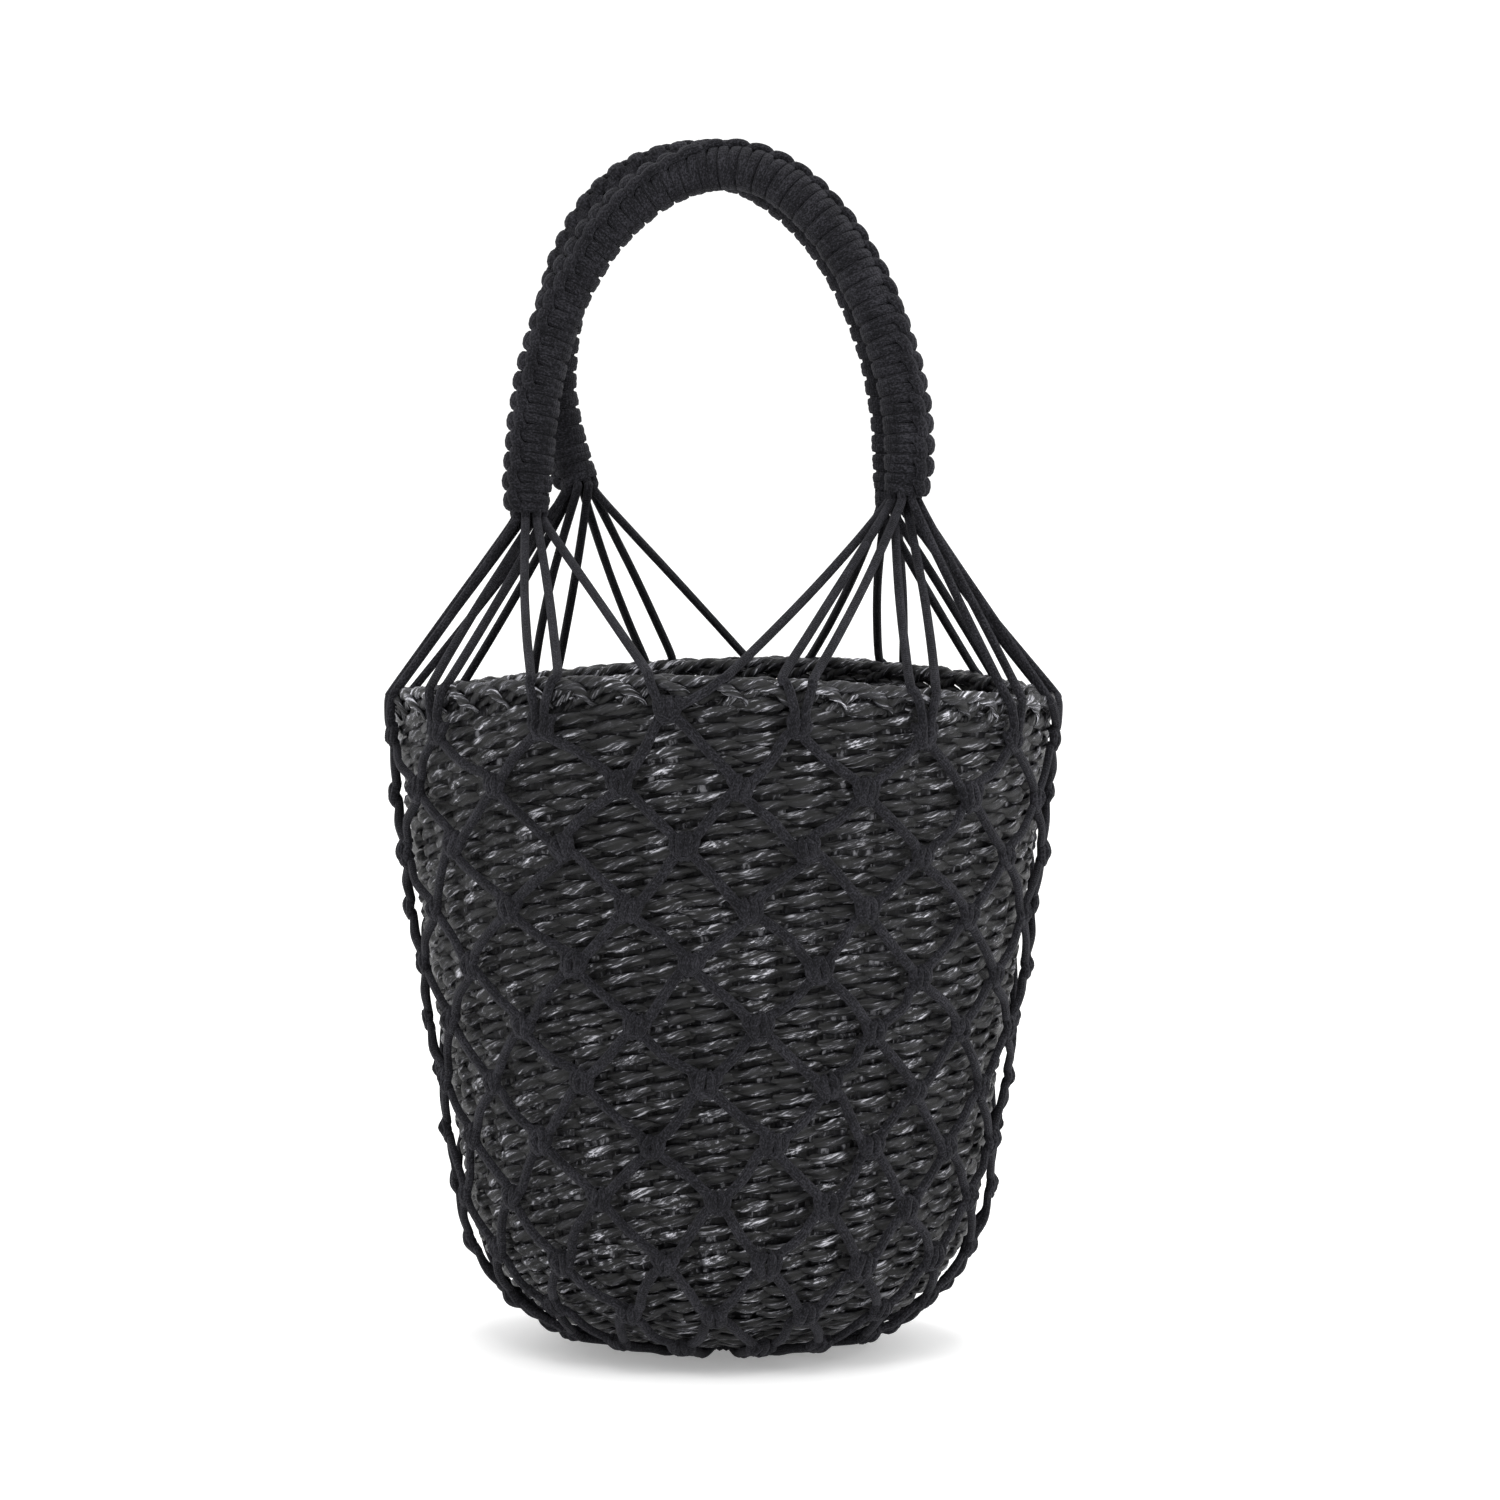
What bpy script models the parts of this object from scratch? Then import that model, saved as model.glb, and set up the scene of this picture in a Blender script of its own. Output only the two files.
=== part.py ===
"""Fishnet bucket bag: a woven straw bucket hung in a knotted cord net with two wrapped handles.

Metres, +Z up. The origin is on the floor under the middle of the bag. The front of the bag
faces -Y, and angles round the bag start there and grow towards +X.
"""

import math

import bmesh
import bpy
from mathutils import Vector

MM = 0.001

# Clearance between two pieces that touch on the real bag.
FIT = 0.35 * MM

# Straw bucket: a tapered wall on a rounded foot.
BUCKET_TOP_RADIUS = 119.7 * MM
BUCKET_TOP_HEIGHT = 234.5 * MM
FOOT_RADIUS = 94.6 * MM
FOOT_HEIGHT = 67.5 * MM
FLOOR_RADIUS = 33.0 * MM
STRAW_WALL = 4.0 * MM
WALL_BULGE = 1.2 * MM

# Braided border on the bucket's edge.
RIM_HEIGHT = 9.4 * MM
RIM_THICKNESS = 7.0 * MM

# The front and back of the mouth stand higher than its sides by twice this.
SADDLE = 4.8 * MM

# Net: cords knotted in staggered rows. Each knot joins two cords.
KNOTS_PER_ROW = 16
OPEN_ROWS = 9
CLOSED_ROWS = 3
ROWS_TO_FLOOR = 12.45
CORD_DIAMETER = 3.3 * MM
KNOT_SIZE = 9.6 * MM
KNOT_RISE = 2.8 * MM
FIRST_KNOT_DEPTH = 5.6 * MM
TWIST_PER_ROW = math.radians(0.8)
NET_STANDOFF_TOP = 0.8 * MM
NET_STANDOFF_LOW = 2.2 * MM
STANDOFF_REACH = 60.0 * MM

# Drawn-in underside of the net, on which the bag stands.
BASE_RADIUS = 42.0 * MM
BASE_THICKNESS = 5.6 * MM
BASE_EDGE = 1.6 * MM

# Handles: a core of cords wound all along with hitches that leave a low ridge.
HANDLE_DIAMETER = 16.3 * MM
RIDGE_RISE = 2.2 * MM
HANDLE_LEG = 13.0 * MM
HANDLE_FOOT_SPREAD = 14.0 * MM
HANDLE_CLEARANCE = 74.5 * MM
HANDLE_RISE = 123.2 * MM
HANDLE_SPAN = 70.0 * MM

# The side is -1 at the front and +1 at the back. Clearance, rise and lean say how far the ends
# stand above the bucket's edge, how far the apex stands above the ends and how far it leans to
# the left. Each leg has its distance from the middle, how far its end is pinched in and hangs
# down, and how square its shoulder is (2 is an ellipse). They are shares of the sizes above.
# The ends themselves are a little thinner.
HANDLES = (
    {
        "name": "front", "side": -1, "clearance": 1.0, "rise": 0.985, "lean": -0.039,
        "left": {"span": 0.962, "pinch": -0.03, "drop": 0.25, "roundness": 2.09},
        "right": {"span": 1.009, "pinch": 0.03, "drop": -0.25, "roundness": 1.77},
    },
    {
        "name": "back", "side": 1, "clearance": 1.054, "rise": 0.965, "lean": 0.045,
        "left": {"span": 0.956, "pinch": 0.15, "drop": -0.3, "roundness": 2.5},
        "right": {"span": 0.874, "pinch": 0.0, "drop": 0.25, "roundness": 1.865},
    },
)
FOOT_REACH = 0.45
END_TAPER = 0.88

# How far the ridge has wound round the handle, in degrees from the arch's outer side towards
# the side away from the other handle, at shares of the handle's length.
RIDGE_WINDING = (
    {"share": 0.00, "angle": 10.0},
    {"share": 0.28, "angle": 28.0},
    {"share": 0.48, "angle": -10.0},
    {"share": 0.60, "angle": -42.0},
    {"share": 0.70, "angle": -42.0},
    {"share": 0.80, "angle": 0.0},
    {"share": 1.00, "angle": 5.0},
)

# Gather cords: eight run from each handle end to the net's top knots. The ring in which they
# leave it has its radius in cords.
CORDS_PER_END = 8
CORD_FAN_DROP = 3.3 * MM
CORD_RING = 1.5

# How far beside their knot the cords cross the border: two from the same handle end, and one
# that shares its knot with a cord from another end.
PAIR_SPREAD = 5.5 * MM
SHARED_SPREAD = 14.0 * MM

# Where each cord leaves the handle end, in degrees round a ring from the side that faces the
# other end. The first cord goes to the middle of the bag's front or back, the last to its side.
CORD_SLOTS = (0, 315, 270, 45, 90, 225, 180, 135)

# Facets
BUCKET_SIDES = 40
HANDLE_SIDES = 10
HANDLE_STEPS = 24
PROFILE_STEPS = 60

CORD_RADIUS = CORD_DIAMETER / 2
HANDLE_RADIUS = HANDLE_DIAMETER / 2
BUCKET_UNDERSIDE = BASE_THICKNESS + FIT
KNOT_STEP = 2 * math.pi / KNOTS_PER_ROW


def smooth(share):
    """Ease from 0 to 1."""
    share = min(max(share, 0.0), 1.0)
    return share * share * (3 - 2 * share)


def outer_profile():
    """Points (radius, height) down the outside of the bucket, from its top to its flat floor."""
    points = []
    for i in range(PROFILE_STEPS + 1):
        share = i / PROFILE_STEPS
        radius = BUCKET_TOP_RADIUS + (FOOT_RADIUS - BUCKET_TOP_RADIUS) * share
        radius += WALL_BULGE * math.sin(math.pi * share)
        height = BUCKET_TOP_HEIGHT + (FOOT_HEIGHT - BUCKET_TOP_HEIGHT) * share
        points.append((radius, height))
    for i in range(1, PROFILE_STEPS + 1):
        turn = math.pi / 2 * (1 - i / PROFILE_STEPS)
        radius = FLOOR_RADIUS + (FOOT_RADIUS - FLOOR_RADIUS) * math.sin(turn)
        height = FOOT_HEIGHT - (FOOT_HEIGHT - BUCKET_UNDERSIDE) * math.cos(turn)
        points.append((radius, height))
    return points


PROFILE = outer_profile()
PROFILE_DEPTHS = [0.0]
for before, after in zip(PROFILE, PROFILE[1:]):
    PROFILE_DEPTHS.append(PROFILE_DEPTHS[-1] + math.dist(before, after))
FLOOR_DEPTH = PROFILE_DEPTHS[-1]
ROW_PITCH = (FLOOR_DEPTH - FIRST_KNOT_DEPTH) / ROWS_TO_FLOOR


def skin(depth, offset):
    """Radius and height at a distance down the bucket's outside, moved out by an offset."""
    index = 0
    while index < len(PROFILE) - 2 and PROFILE_DEPTHS[index + 1] < depth:
        index += 1
    (radius_a, height_a), (radius_b, height_b) = PROFILE[index], PROFILE[index + 1]
    length = PROFILE_DEPTHS[index + 1] - PROFILE_DEPTHS[index]
    share = (depth - PROFILE_DEPTHS[index]) / length
    along_r = (radius_b - radius_a) / length
    along_z = (height_b - height_a) / length
    radius = radius_a + (radius_b - radius_a) * share - along_z * offset
    height = height_a + (height_b - height_a) * share + along_r * offset
    return radius, height


def round_bag(angle, radius, height):
    """Point at an angle from the bag's front."""
    return Vector((radius * math.sin(angle), -radius * math.cos(angle), height))


def lift(angle, depth=0.0):
    """How far the saddle raises the weave or the net, fading out over the rounded foot."""
    fade = smooth((FLOOR_DEPTH - depth) / (FLOOR_DEPTH / 2))
    return SADDLE * math.cos(2 * angle) * fade


def standoff(depth):
    """Gap between the net and the bucket: tight at the top, slack lower down."""
    share = smooth(depth / STANDOFF_REACH)
    return NET_STANDOFF_TOP + (NET_STANDOFF_LOW - NET_STANDOFF_TOP) * share


def material(name, colour, roughness):
    found = bpy.data.materials.get(name)
    if found:
        return found
    made = bpy.data.materials.new(name)
    made.use_nodes = True
    shader = made.node_tree.nodes["Principled BSDF"]
    shader.inputs["Base Color"].default_value = (*colour, 1)
    shader.inputs["Roughness"].default_value = roughness
    shader.inputs["Metallic"].default_value = 0.0
    return made


def straw():
    return material("charcoal_straw", (0.045, 0.045, 0.047), 0.55)


def cotton():
    return material("black_cotton_cord", (0.012, 0.012, 0.015), 0.9)


def mesh_object(name, points, faces, look):
    """Object from points and faces, with flat creases kept and round ones smoothed."""
    mesh = bpy.data.meshes.new(name)
    shape = bmesh.new()
    corners = [shape.verts.new(point) for point in points]
    for face in faces:
        shape.faces.new([corners[i] for i in face])
    bmesh.ops.recalc_face_normals(shape, faces=shape.faces[:])
    shape.to_mesh(mesh)
    shape.free()
    mesh.shade_smooth()
    mesh.set_sharp_from_angle(angle=math.radians(40))
    mesh.materials.append(look)
    placed = bpy.data.objects.new(name, mesh)
    bpy.context.collection.objects.link(placed)
    return placed


def ring_faces(first, second, count):
    """Quads between two rings of points that start at the given indices."""
    faces = []
    for i in range(count):
        after = (i + 1) % count
        faces.append((first + i, first + after, second + after, second + i))
    return faces


def build_bucket():
    """Hollow woven wall and floor, outside first and then inside."""
    wall_shares = (0.0, 0.14, 0.34, 0.56, 0.78, 1.0)
    foot_shares = (0.22, 0.42, 0.62, 0.82, 1.0)
    foot_depth = PROFILE_DEPTHS[PROFILE_STEPS]
    foot_length = FLOOR_DEPTH - foot_depth
    depths = [foot_depth * share for share in wall_shares]
    depths += [foot_depth + foot_length * share for share in foot_shares]
    points = []
    for offset in (0.0, -STRAW_WALL):
        for index, depth in enumerate(depths):
            for side in range(BUCKET_SIDES):
                angle = 2 * math.pi * side / BUCKET_SIDES
                place = depth - lift(angle) if index == 0 else depth
                points.append(round_bag(angle, *skin(place, offset)))
    rings = len(depths)
    faces = []
    for wall in (0, rings):
        for ring in range(rings - 1):
            start = (wall + ring) * BUCKET_SIDES
            faces += ring_faces(start, start + BUCKET_SIDES, BUCKET_SIDES)
    faces += ring_faces(0, rings * BUCKET_SIDES, BUCKET_SIDES)
    for last_ring in (rings - 1, 2 * rings - 1):
        start = last_ring * BUCKET_SIDES
        faces.append(tuple(range(start, start + BUCKET_SIDES)))
    return mesh_object("straw_bucket", points, faces, straw())


def rim_middle(angle):
    """Radius and height of the middle of the border's section."""
    top_radius, top_height = skin(-lift(angle), -STRAW_WALL / 2)
    return top_radius, top_height + FIT + RIM_HEIGHT / 2


def build_rim():
    """Braided border: a thick oval ring that follows the saddle of the mouth."""
    section_sides = 8
    points = []
    for side in range(BUCKET_SIDES):
        angle = 2 * math.pi * side / BUCKET_SIDES
        radius, height = rim_middle(angle)
        for corner in range(section_sides):
            turn = 2 * math.pi * (corner + 0.5) / section_sides
            out = RIM_THICKNESS / 2 * math.cos(turn)
            up = RIM_HEIGHT / 2 * math.sin(turn) / math.sin(math.pi * 3 / section_sides)
            points.append(round_bag(angle, radius + out, height + up))
    faces = []
    for side in range(BUCKET_SIDES):
        start = side * section_sides
        after = (side + 1) % BUCKET_SIDES * section_sides
        faces += ring_faces(start, after, section_sides)
    return mesh_object("rim_braid", points, faces, straw())


def knot_place(row, column):
    """Angle and depth of a knot. Odd rows sit half a step on, and the net leans a little."""
    angle = (column + (row % 2) / 2) * KNOT_STEP + row * TWIST_PER_ROW
    depth = FIRST_KNOT_DEPTH + row * ROW_PITCH
    return angle, depth - lift(angle, depth)


class NetSkin:
    """Outer and inner points of the net, with the faces of its outer side."""

    def __init__(self):
        self.outer = []
        self.inner = []
        self.faces = []

    def point(self, angle, depth, rise=0.0):
        gap = standoff(depth)
        self.outer.append(round_bag(angle, *skin(depth, gap + CORD_DIAMETER + rise)))
        self.inner.append(round_bag(angle, *skin(depth, gap)))
        return len(self.outer) - 1

    def knot(self, angle, depth):
        """Eight-sided knot with a raised middle. Its corners run round from lower right."""
        half = KNOT_SIZE / 2
        cut = CORD_DIAMETER / math.sqrt(2)
        corners = (
            (half - cut, -half), (half, cut - half), (half, half - cut), (half - cut, half),
            (cut - half, half), (-half, half - cut), (-half, cut - half), (cut - half, -half),
        )
        radius = skin(depth, CORD_DIAMETER)[0]
        ring = [self.point(angle + right / radius, depth - up) for right, up in corners]
        middle = self.point(angle, depth, KNOT_RISE)
        for i, corner in enumerate(ring):
            self.faces.append((corner, ring[(i + 1) % len(ring)], middle))
        return ring

    def closed_mesh(self):
        """Points and faces of the whole net: outer side, inner side and the edges between."""
        count = len(self.outer)
        uses = {}
        for face in self.faces:
            for a, b in zip(face, face[1:] + face[:1]):
                edge = (min(a, b), max(a, b))
                uses.setdefault(edge, []).append((a, b))
        faces = list(self.faces)
        faces += [tuple(count + i for i in reversed(face)) for face in self.faces]
        for found in uses.values():
            if len(found) == 1:
                a, b = found[0]
                faces.append((b, a, count + a, count + b))
        return self.outer + self.inner, faces


def build_net_wall():
    """Knotted net: open diamonds round the wall, closed where it is drawn in under the bucket."""
    net = NetSkin()
    rows = []
    for row in range(OPEN_ROWS):
        rows.append([net.knot(*knot_place(row, column)) for column in range(KNOTS_PER_ROW)])
    for row in range(OPEN_ROWS - 1):
        for column in range(KNOTS_PER_ROW):
            knot = rows[row][column]
            right = rows[row + 1][(column + row % 2) % KNOTS_PER_ROW]
            left = rows[row + 1][(column + row % 2 - 1) % KNOTS_PER_ROW]
            net.faces.append((knot[0], right[5], right[4], knot[1]))
            net.faces.append((knot[7], knot[6], left[3], left[2]))
    net_skirt(net, rows)
    points, faces = net.closed_mesh()
    return mesh_object("net_wall", points, faces, cotton())


def net_skirt(net, rows):
    """Closed lower net, from the last open rows to the edge of the drawn-in underside."""
    last = OPEN_ROWS - 1
    above = rows[last - 1]
    lowest = rows[last]
    bottom = FIRST_KNOT_DEPTH + last * ROW_PITCH + KNOT_SIZE / 2
    shift = (last - 1) % 2
    middles = []
    for column in range(KNOTS_PER_ROW):
        angle = knot_place(last, column)[0] + KNOT_STEP / 2
        middles.append(net.point(angle, bottom - lift(angle, bottom)))
    for column in range(KNOTS_PER_ROW):
        after = (column + 1) % KNOTS_PER_ROW
        left, right = lowest[column], lowest[after]
        top = above[(column + 1 - shift) % KNOTS_PER_ROW]
        net.faces.append((top[7], left[2], left[1], left[0], middles[column]))
        net.faces.append((top[0], top[7], middles[column]))
        net.faces.append((top[0], middles[column], right[7], right[6], right[5]))
    edge_depth = skirt_edge_depth()
    ring_rows = [last + 1 + i for i in range(CLOSED_ROWS)]
    ring = None
    for step, row in enumerate(ring_rows + [None]):
        fresh = []
        for half in range(2 * KNOTS_PER_ROW):
            turn = min(last + 1 + step, ring_rows[-1]) * TWIST_PER_ROW
            angle = (half + last % 2) * KNOT_STEP / 2 + turn
            if row is None:
                fresh.append(net.point(angle, edge_depth))
                continue
            place = FIRST_KNOT_DEPTH + row * ROW_PITCH
            knotted = half % 2 == (step + 1) % 2
            rise = KNOT_RISE if knotted else 0.0
            fresh.append(net.point(angle, place - lift(angle, place), rise))
        if ring is None:
            for column in range(KNOTS_PER_ROW):
                after = (column + 1) % KNOTS_PER_ROW
                here, half, there = fresh[2 * column], fresh[2 * column + 1], fresh[2 * after]
                net.faces.append((lowest[column][7], here, lowest[column][0]))
                net.faces.append((lowest[column][0], here, half, middles[column]))
                net.faces.append((middles[column], half, there, lowest[after][7]))
        else:
            for half in range(2 * KNOTS_PER_ROW):
                after = (half + 1) % (2 * KNOTS_PER_ROW)
                net.faces.append((ring[half], fresh[half], fresh[after], ring[after]))
        ring = fresh


def skirt_edge_depth():
    """How far down the bucket's outside the closed net ends, just outside the underside."""
    depth = FLOOR_DEPTH
    wanted = BASE_RADIUS + 2 * FIT
    while skin(depth, 0.0)[0] * math.cos(KNOT_STEP / 4) < wanted and depth > 0:
        depth -= MM / 4
    return depth


def build_net_base():
    """Flat round underside: cords and knots drawn together beneath the bucket."""
    sides = 2 * KNOTS_PER_ROW
    levels = (
        (BASE_RADIUS - BASE_EDGE, 0.0),
        (BASE_RADIUS, BASE_EDGE),
        (BASE_RADIUS, BASE_THICKNESS - BASE_EDGE),
        (BASE_RADIUS - BASE_EDGE, BASE_THICKNESS),
    )
    points = []
    for radius, height in levels:
        for side in range(sides):
            points.append(round_bag(2 * math.pi * side / sides, radius, height))
    faces = []
    for level in range(len(levels) - 1):
        faces += ring_faces(level * sides, (level + 1) * sides, sides)
    faces.append(tuple(range(sides)))
    faces.append(tuple(range(3 * sides, 4 * sides)))
    return mesh_object("net_base", points, faces, cotton())


def handle_line(handle, share):
    """Middle of a handle at a share of its length, from its left end to its right end."""
    ends = BUCKET_TOP_HEIGHT + handle["clearance"] * HANDLE_CLEARANCE
    rise = handle["rise"] * HANDLE_RISE
    arch = rise - HANDLE_LEG
    mean_span = HANDLE_SPAN * (handle["left"]["span"] + handle["right"]["span"]) / 2
    run = math.pi * (mean_span + arch) / 2 + 2 * HANDLE_LEG
    leg_share = HANDLE_LEG / run
    leg = handle["left"] if share < 0.5 else handle["right"]
    if share < leg_share:
        reach, climb = 1.0, share * run / rise
    elif share > 1 - leg_share:
        reach, climb = -1.0, (1 - share) * run / rise
    else:
        turn = math.pi * (share - leg_share) / (1 - 2 * leg_share)
        power = 2 / leg["roundness"]
        reach = math.copysign(abs(math.cos(turn)) ** power, math.cos(turn))
        climb = (HANDLE_LEG + arch * math.sin(turn) ** power) / rise
    low = max(1 - climb / FOOT_REACH, 0) ** 2
    x = -reach * HANDLE_SPAN * (leg["span"] - leg["pinch"] * low)
    x -= handle["lean"] * rise * climb ** 4
    top_y = HANDLE_RADIUS + FIT
    y = HANDLE_FOOT_SPREAD + (top_y - HANDLE_FOOT_SPREAD) * smooth(climb)
    z = ends + rise * climb - HANDLE_LEG * leg["drop"] * low
    return Vector((x, handle["side"] * y, z))


def ridge_angle(share):
    """How far the ridge has wound round the handle at a share of its length."""
    for a, b in zip(RIDGE_WINDING, RIDGE_WINDING[1:]):
        if share <= b["share"]:
            part = smooth((share - a["share"]) / (b["share"] - a["share"]))
            return math.radians(a["angle"] + (b["angle"] - a["angle"]) * part)
    return math.radians(RIDGE_WINDING[-1]["angle"])


def build_handle(handle):
    """Wrapped handle: a round tube along an arch, one corner of its section raised as the ridge."""
    away = Vector((0, handle["side"], 0))
    points = []
    for step in range(HANDLE_STEPS + 1):
        share = step / HANDLE_STEPS
        middle = handle_line(handle, share)
        before = handle_line(handle, max(share - 0.004, 0))
        after = handle_line(handle, min(share + 0.004, 1))
        along = (after - before).normalized()
        if step in (0, HANDLE_STEPS):
            along = Vector((0, 0, math.copysign(1, along.z)))
        sideways = (away - along * away.dot(along)).normalized()
        outward = along.cross(sideways) * handle["side"]
        ridge = ridge_angle(share)
        for corner in range(HANDLE_SIDES):
            turn = ridge + 2 * math.pi * corner / HANDLE_SIDES
            reach = HANDLE_RADIUS + (RIDGE_RISE if corner == 0 else 0.0)
            if step in (0, HANDLE_STEPS):
                reach *= END_TAPER
            points.append(
                middle + outward * reach * math.cos(turn) + sideways * reach * math.sin(turn)
            )
    faces = []
    for step in range(HANDLE_STEPS):
        start = step * HANDLE_SIDES
        faces += ring_faces(start, start + HANDLE_SIDES, HANDLE_SIDES)
    faces.append(tuple(range(HANDLE_SIDES)))
    faces.append(tuple(range(HANDLE_STEPS * HANDLE_SIDES, (HANDLE_STEPS + 1) * HANDLE_SIDES)))
    return mesh_object("handle_" + handle["name"], points, faces, cotton())


def cord_start(handle, end_side, cord):
    """Where a gather cord leaves the handle end, in a ring of eight."""
    turn = math.radians(CORD_SLOTS[cord])
    ring = CORD_RING * (CORD_DIAMETER + FIT)
    end = handle_line(handle, 0.0 if end_side < 0 else 1.0)
    inward = Vector((-end_side * math.cos(turn), -handle["side"] * math.sin(turn), 0))
    return end + inward * ring - Vector((0, 0, FIT))


def cord_points(handle, end_side, cord):
    """A gather cord: down from the handle end, over the border, and to its knot.

    It comes in at a slant, so it stops short by as much as the lower side of its end dips.
    """
    quarter = KNOTS_PER_ROW // 4
    column = (cord + 1) // 2
    half_pair = (CORD_DIAMETER + FIT) / 2
    shared = column in (0, CORDS_PER_END // 2)
    spread = SHARED_SPREAD if shared else PAIR_SPREAD
    toward = -1 if cord % 2 else 1
    centre_angle = math.pi if handle["side"] > 0 else 0.0
    turn_way = end_side if handle["side"] < 0 else -end_side
    start = cord_start(handle, end_side, cord)
    knot_angle = centre_angle + turn_way * column * KNOT_STEP * quarter / (CORDS_PER_END // 2)
    knot_depth = FIRST_KNOT_DEPTH - lift(knot_angle)
    end_dip = CORD_RADIUS * spread / (2 * KNOT_SIZE)
    end_depth = knot_depth - KNOT_SIZE / 2 - FIT - end_dip
    end_radius, end_height = skin(end_depth, standoff(0.0) + CORD_RADIUS)
    side_way = turn_way * toward
    angle = knot_angle + side_way * spread / end_radius
    rim_radius, rim_height = rim_middle(angle)
    reach_out = RIM_THICKNESS / 2 + CORD_RADIUS + FIT
    reach_up = (RIM_HEIGHT / 2 + CORD_RADIUS + FIT) * 1.06
    over = round_bag(angle, rim_radius, rim_height + reach_up)
    fan = start - Vector((0, 0, CORD_FAN_DROP))
    away = fan - over
    inward = Vector((-over.x, -over.y, 0)).normalized()
    slope = away.z / max(away.dot(inward), CORD_DIAMETER)
    leave = math.atan2(reach_up, reach_out * slope)
    route = [start, fan]
    for share in (1.0, 0.55, 0.0):
        turn = leave * share
        out = rim_radius + reach_out * math.cos(turn)
        up = rim_height + reach_up * math.sin(turn)
        route.append(round_bag(angle, out, up))
    end_angle = knot_angle + side_way * half_pair / end_radius
    route.append(round_bag(end_angle, max(end_radius, rim_radius + reach_out), end_height))
    return route


def build_cord(name, route):
    curve = bpy.data.curves.new(name, "CURVE")
    curve.dimensions = "3D"
    curve.bevel_depth = CORD_RADIUS
    curve.bevel_resolution = 1
    curve.use_fill_caps = True
    spline = curve.splines.new("POLY")
    spline.points.add(len(route) - 1)
    for point, place in zip(spline.points, route):
        point.co = (*place, 1)
    curve.materials.append(cotton())
    placed = bpy.data.objects.new(name, curve)
    bpy.context.collection.objects.link(placed)
    return placed


def build():
    for old in list(bpy.data.objects):
        bpy.data.objects.remove(old, do_unlink=True)
    build_bucket()
    build_rim()
    build_net_wall()
    build_net_base()
    for handle in HANDLES:
        build_handle(handle)
        for end, end_side in (("left", -1), ("right", 1)):
            for cord in range(CORDS_PER_END):
                name = f"gather_{handle['name']}_{end}_{cord + 1}"
                build_cord(name, cord_points(handle, end_side, cord))


build()
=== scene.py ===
"""Looks of the fishnet bucket bag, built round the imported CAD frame.

Every strand is modelled: the woven straw, its braided border, the knotted net, the cords
that gather it and the hitches round the handles. Sizes are in metres and match the CAD.
Angles round the bag start at its front, -Y, and grow towards +X. Depths run down the
outside of the bucket from its edge.
"""

import math

import bpy
import numpy as np
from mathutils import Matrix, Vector


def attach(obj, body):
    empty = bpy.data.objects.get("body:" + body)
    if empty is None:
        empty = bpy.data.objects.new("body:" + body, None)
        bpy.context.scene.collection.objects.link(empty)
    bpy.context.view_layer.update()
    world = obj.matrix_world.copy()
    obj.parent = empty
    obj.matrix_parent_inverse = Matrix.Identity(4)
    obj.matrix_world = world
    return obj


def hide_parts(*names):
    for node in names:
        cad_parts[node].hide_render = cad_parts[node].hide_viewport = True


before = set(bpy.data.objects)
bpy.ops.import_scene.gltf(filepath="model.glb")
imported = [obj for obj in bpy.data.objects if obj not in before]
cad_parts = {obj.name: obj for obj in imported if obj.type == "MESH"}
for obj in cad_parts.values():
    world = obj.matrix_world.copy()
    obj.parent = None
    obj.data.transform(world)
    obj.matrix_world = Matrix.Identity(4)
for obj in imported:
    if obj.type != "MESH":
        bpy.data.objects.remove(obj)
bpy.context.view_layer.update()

MM = 0.001
RANDOM = np.random.default_rng(27)

# Camera: a little to the bag's right and just above the rim, from far off.
CAMERA_AZIMUTH = math.radians(10.0)
CAMERA_DISTANCE = 1.6
CAMERA_HEIGHT = 0.2953
FRAME_MIDDLE_HEIGHT = 0.2188
FRAME_WIDTH_AT_BAG = 0.549
BAG_LEFT_OF_MIDDLE = 0.0099

# Sizes that the CAD gives to the bucket and its border.
FIT = 0.35 * MM
BUCKET_TOP_RADIUS = 119.7 * MM
BUCKET_TOP_HEIGHT = 234.5 * MM
FOOT_RADIUS = 94.6 * MM
FOOT_HEIGHT = 67.5 * MM
FLOOR_RADIUS = 33.0 * MM
STRAW_WALL = 4.0 * MM
WALL_BULGE = 1.2 * MM
RIM_HEIGHT = 9.4 * MM
RIM_THICKNESS = 7.0 * MM
SADDLE = 4.8 * MM

# Sizes that the CAD gives to the net and its underside.
KNOTS_PER_ROW = 16
ROWS = 12
CORD_DIAMETER = 3.3 * MM
KNOT_SIZE = 9.6 * MM
ROWS_TO_FLOOR = 12.45
FIRST_KNOT_DEPTH = 5.6 * MM
TWIST_PER_ROW = math.radians(0.8)
NET_STANDOFF_TOP = 0.8 * MM
NET_STANDOFF_LOW = 2.2 * MM
STANDOFF_REACH = 60.0 * MM
BASE_THICKNESS = 5.6 * MM

# Sizes that the CAD gives to the handles and the gather cords.
HANDLE_DIAMETER = 16.3 * MM
HANDLE_LEG = 13.0 * MM
HANDLE_FOOT_SPREAD = 14.0 * MM
HANDLE_CLEARANCE = 74.5 * MM
HANDLE_RISE = 123.2 * MM
HANDLE_SPAN = 70.0 * MM
HANDLES = (
    {
        "name": "front", "side": -1, "clearance": 1.0, "rise": 0.985, "lean": -0.039,
        "left": {"span": 0.962, "pinch": -0.03, "drop": 0.25, "roundness": 2.09},
        "right": {"span": 1.009, "pinch": 0.03, "drop": -0.25, "roundness": 1.77},
    },
    {
        "name": "back", "side": 1, "clearance": 1.054, "rise": 0.965, "lean": 0.045,
        "left": {"span": 0.956, "pinch": 0.15, "drop": -0.3, "roundness": 2.5},
        "right": {"span": 0.874, "pinch": 0.0, "drop": 0.25, "roundness": 1.865},
    },
)
FOOT_REACH = 0.45
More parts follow.
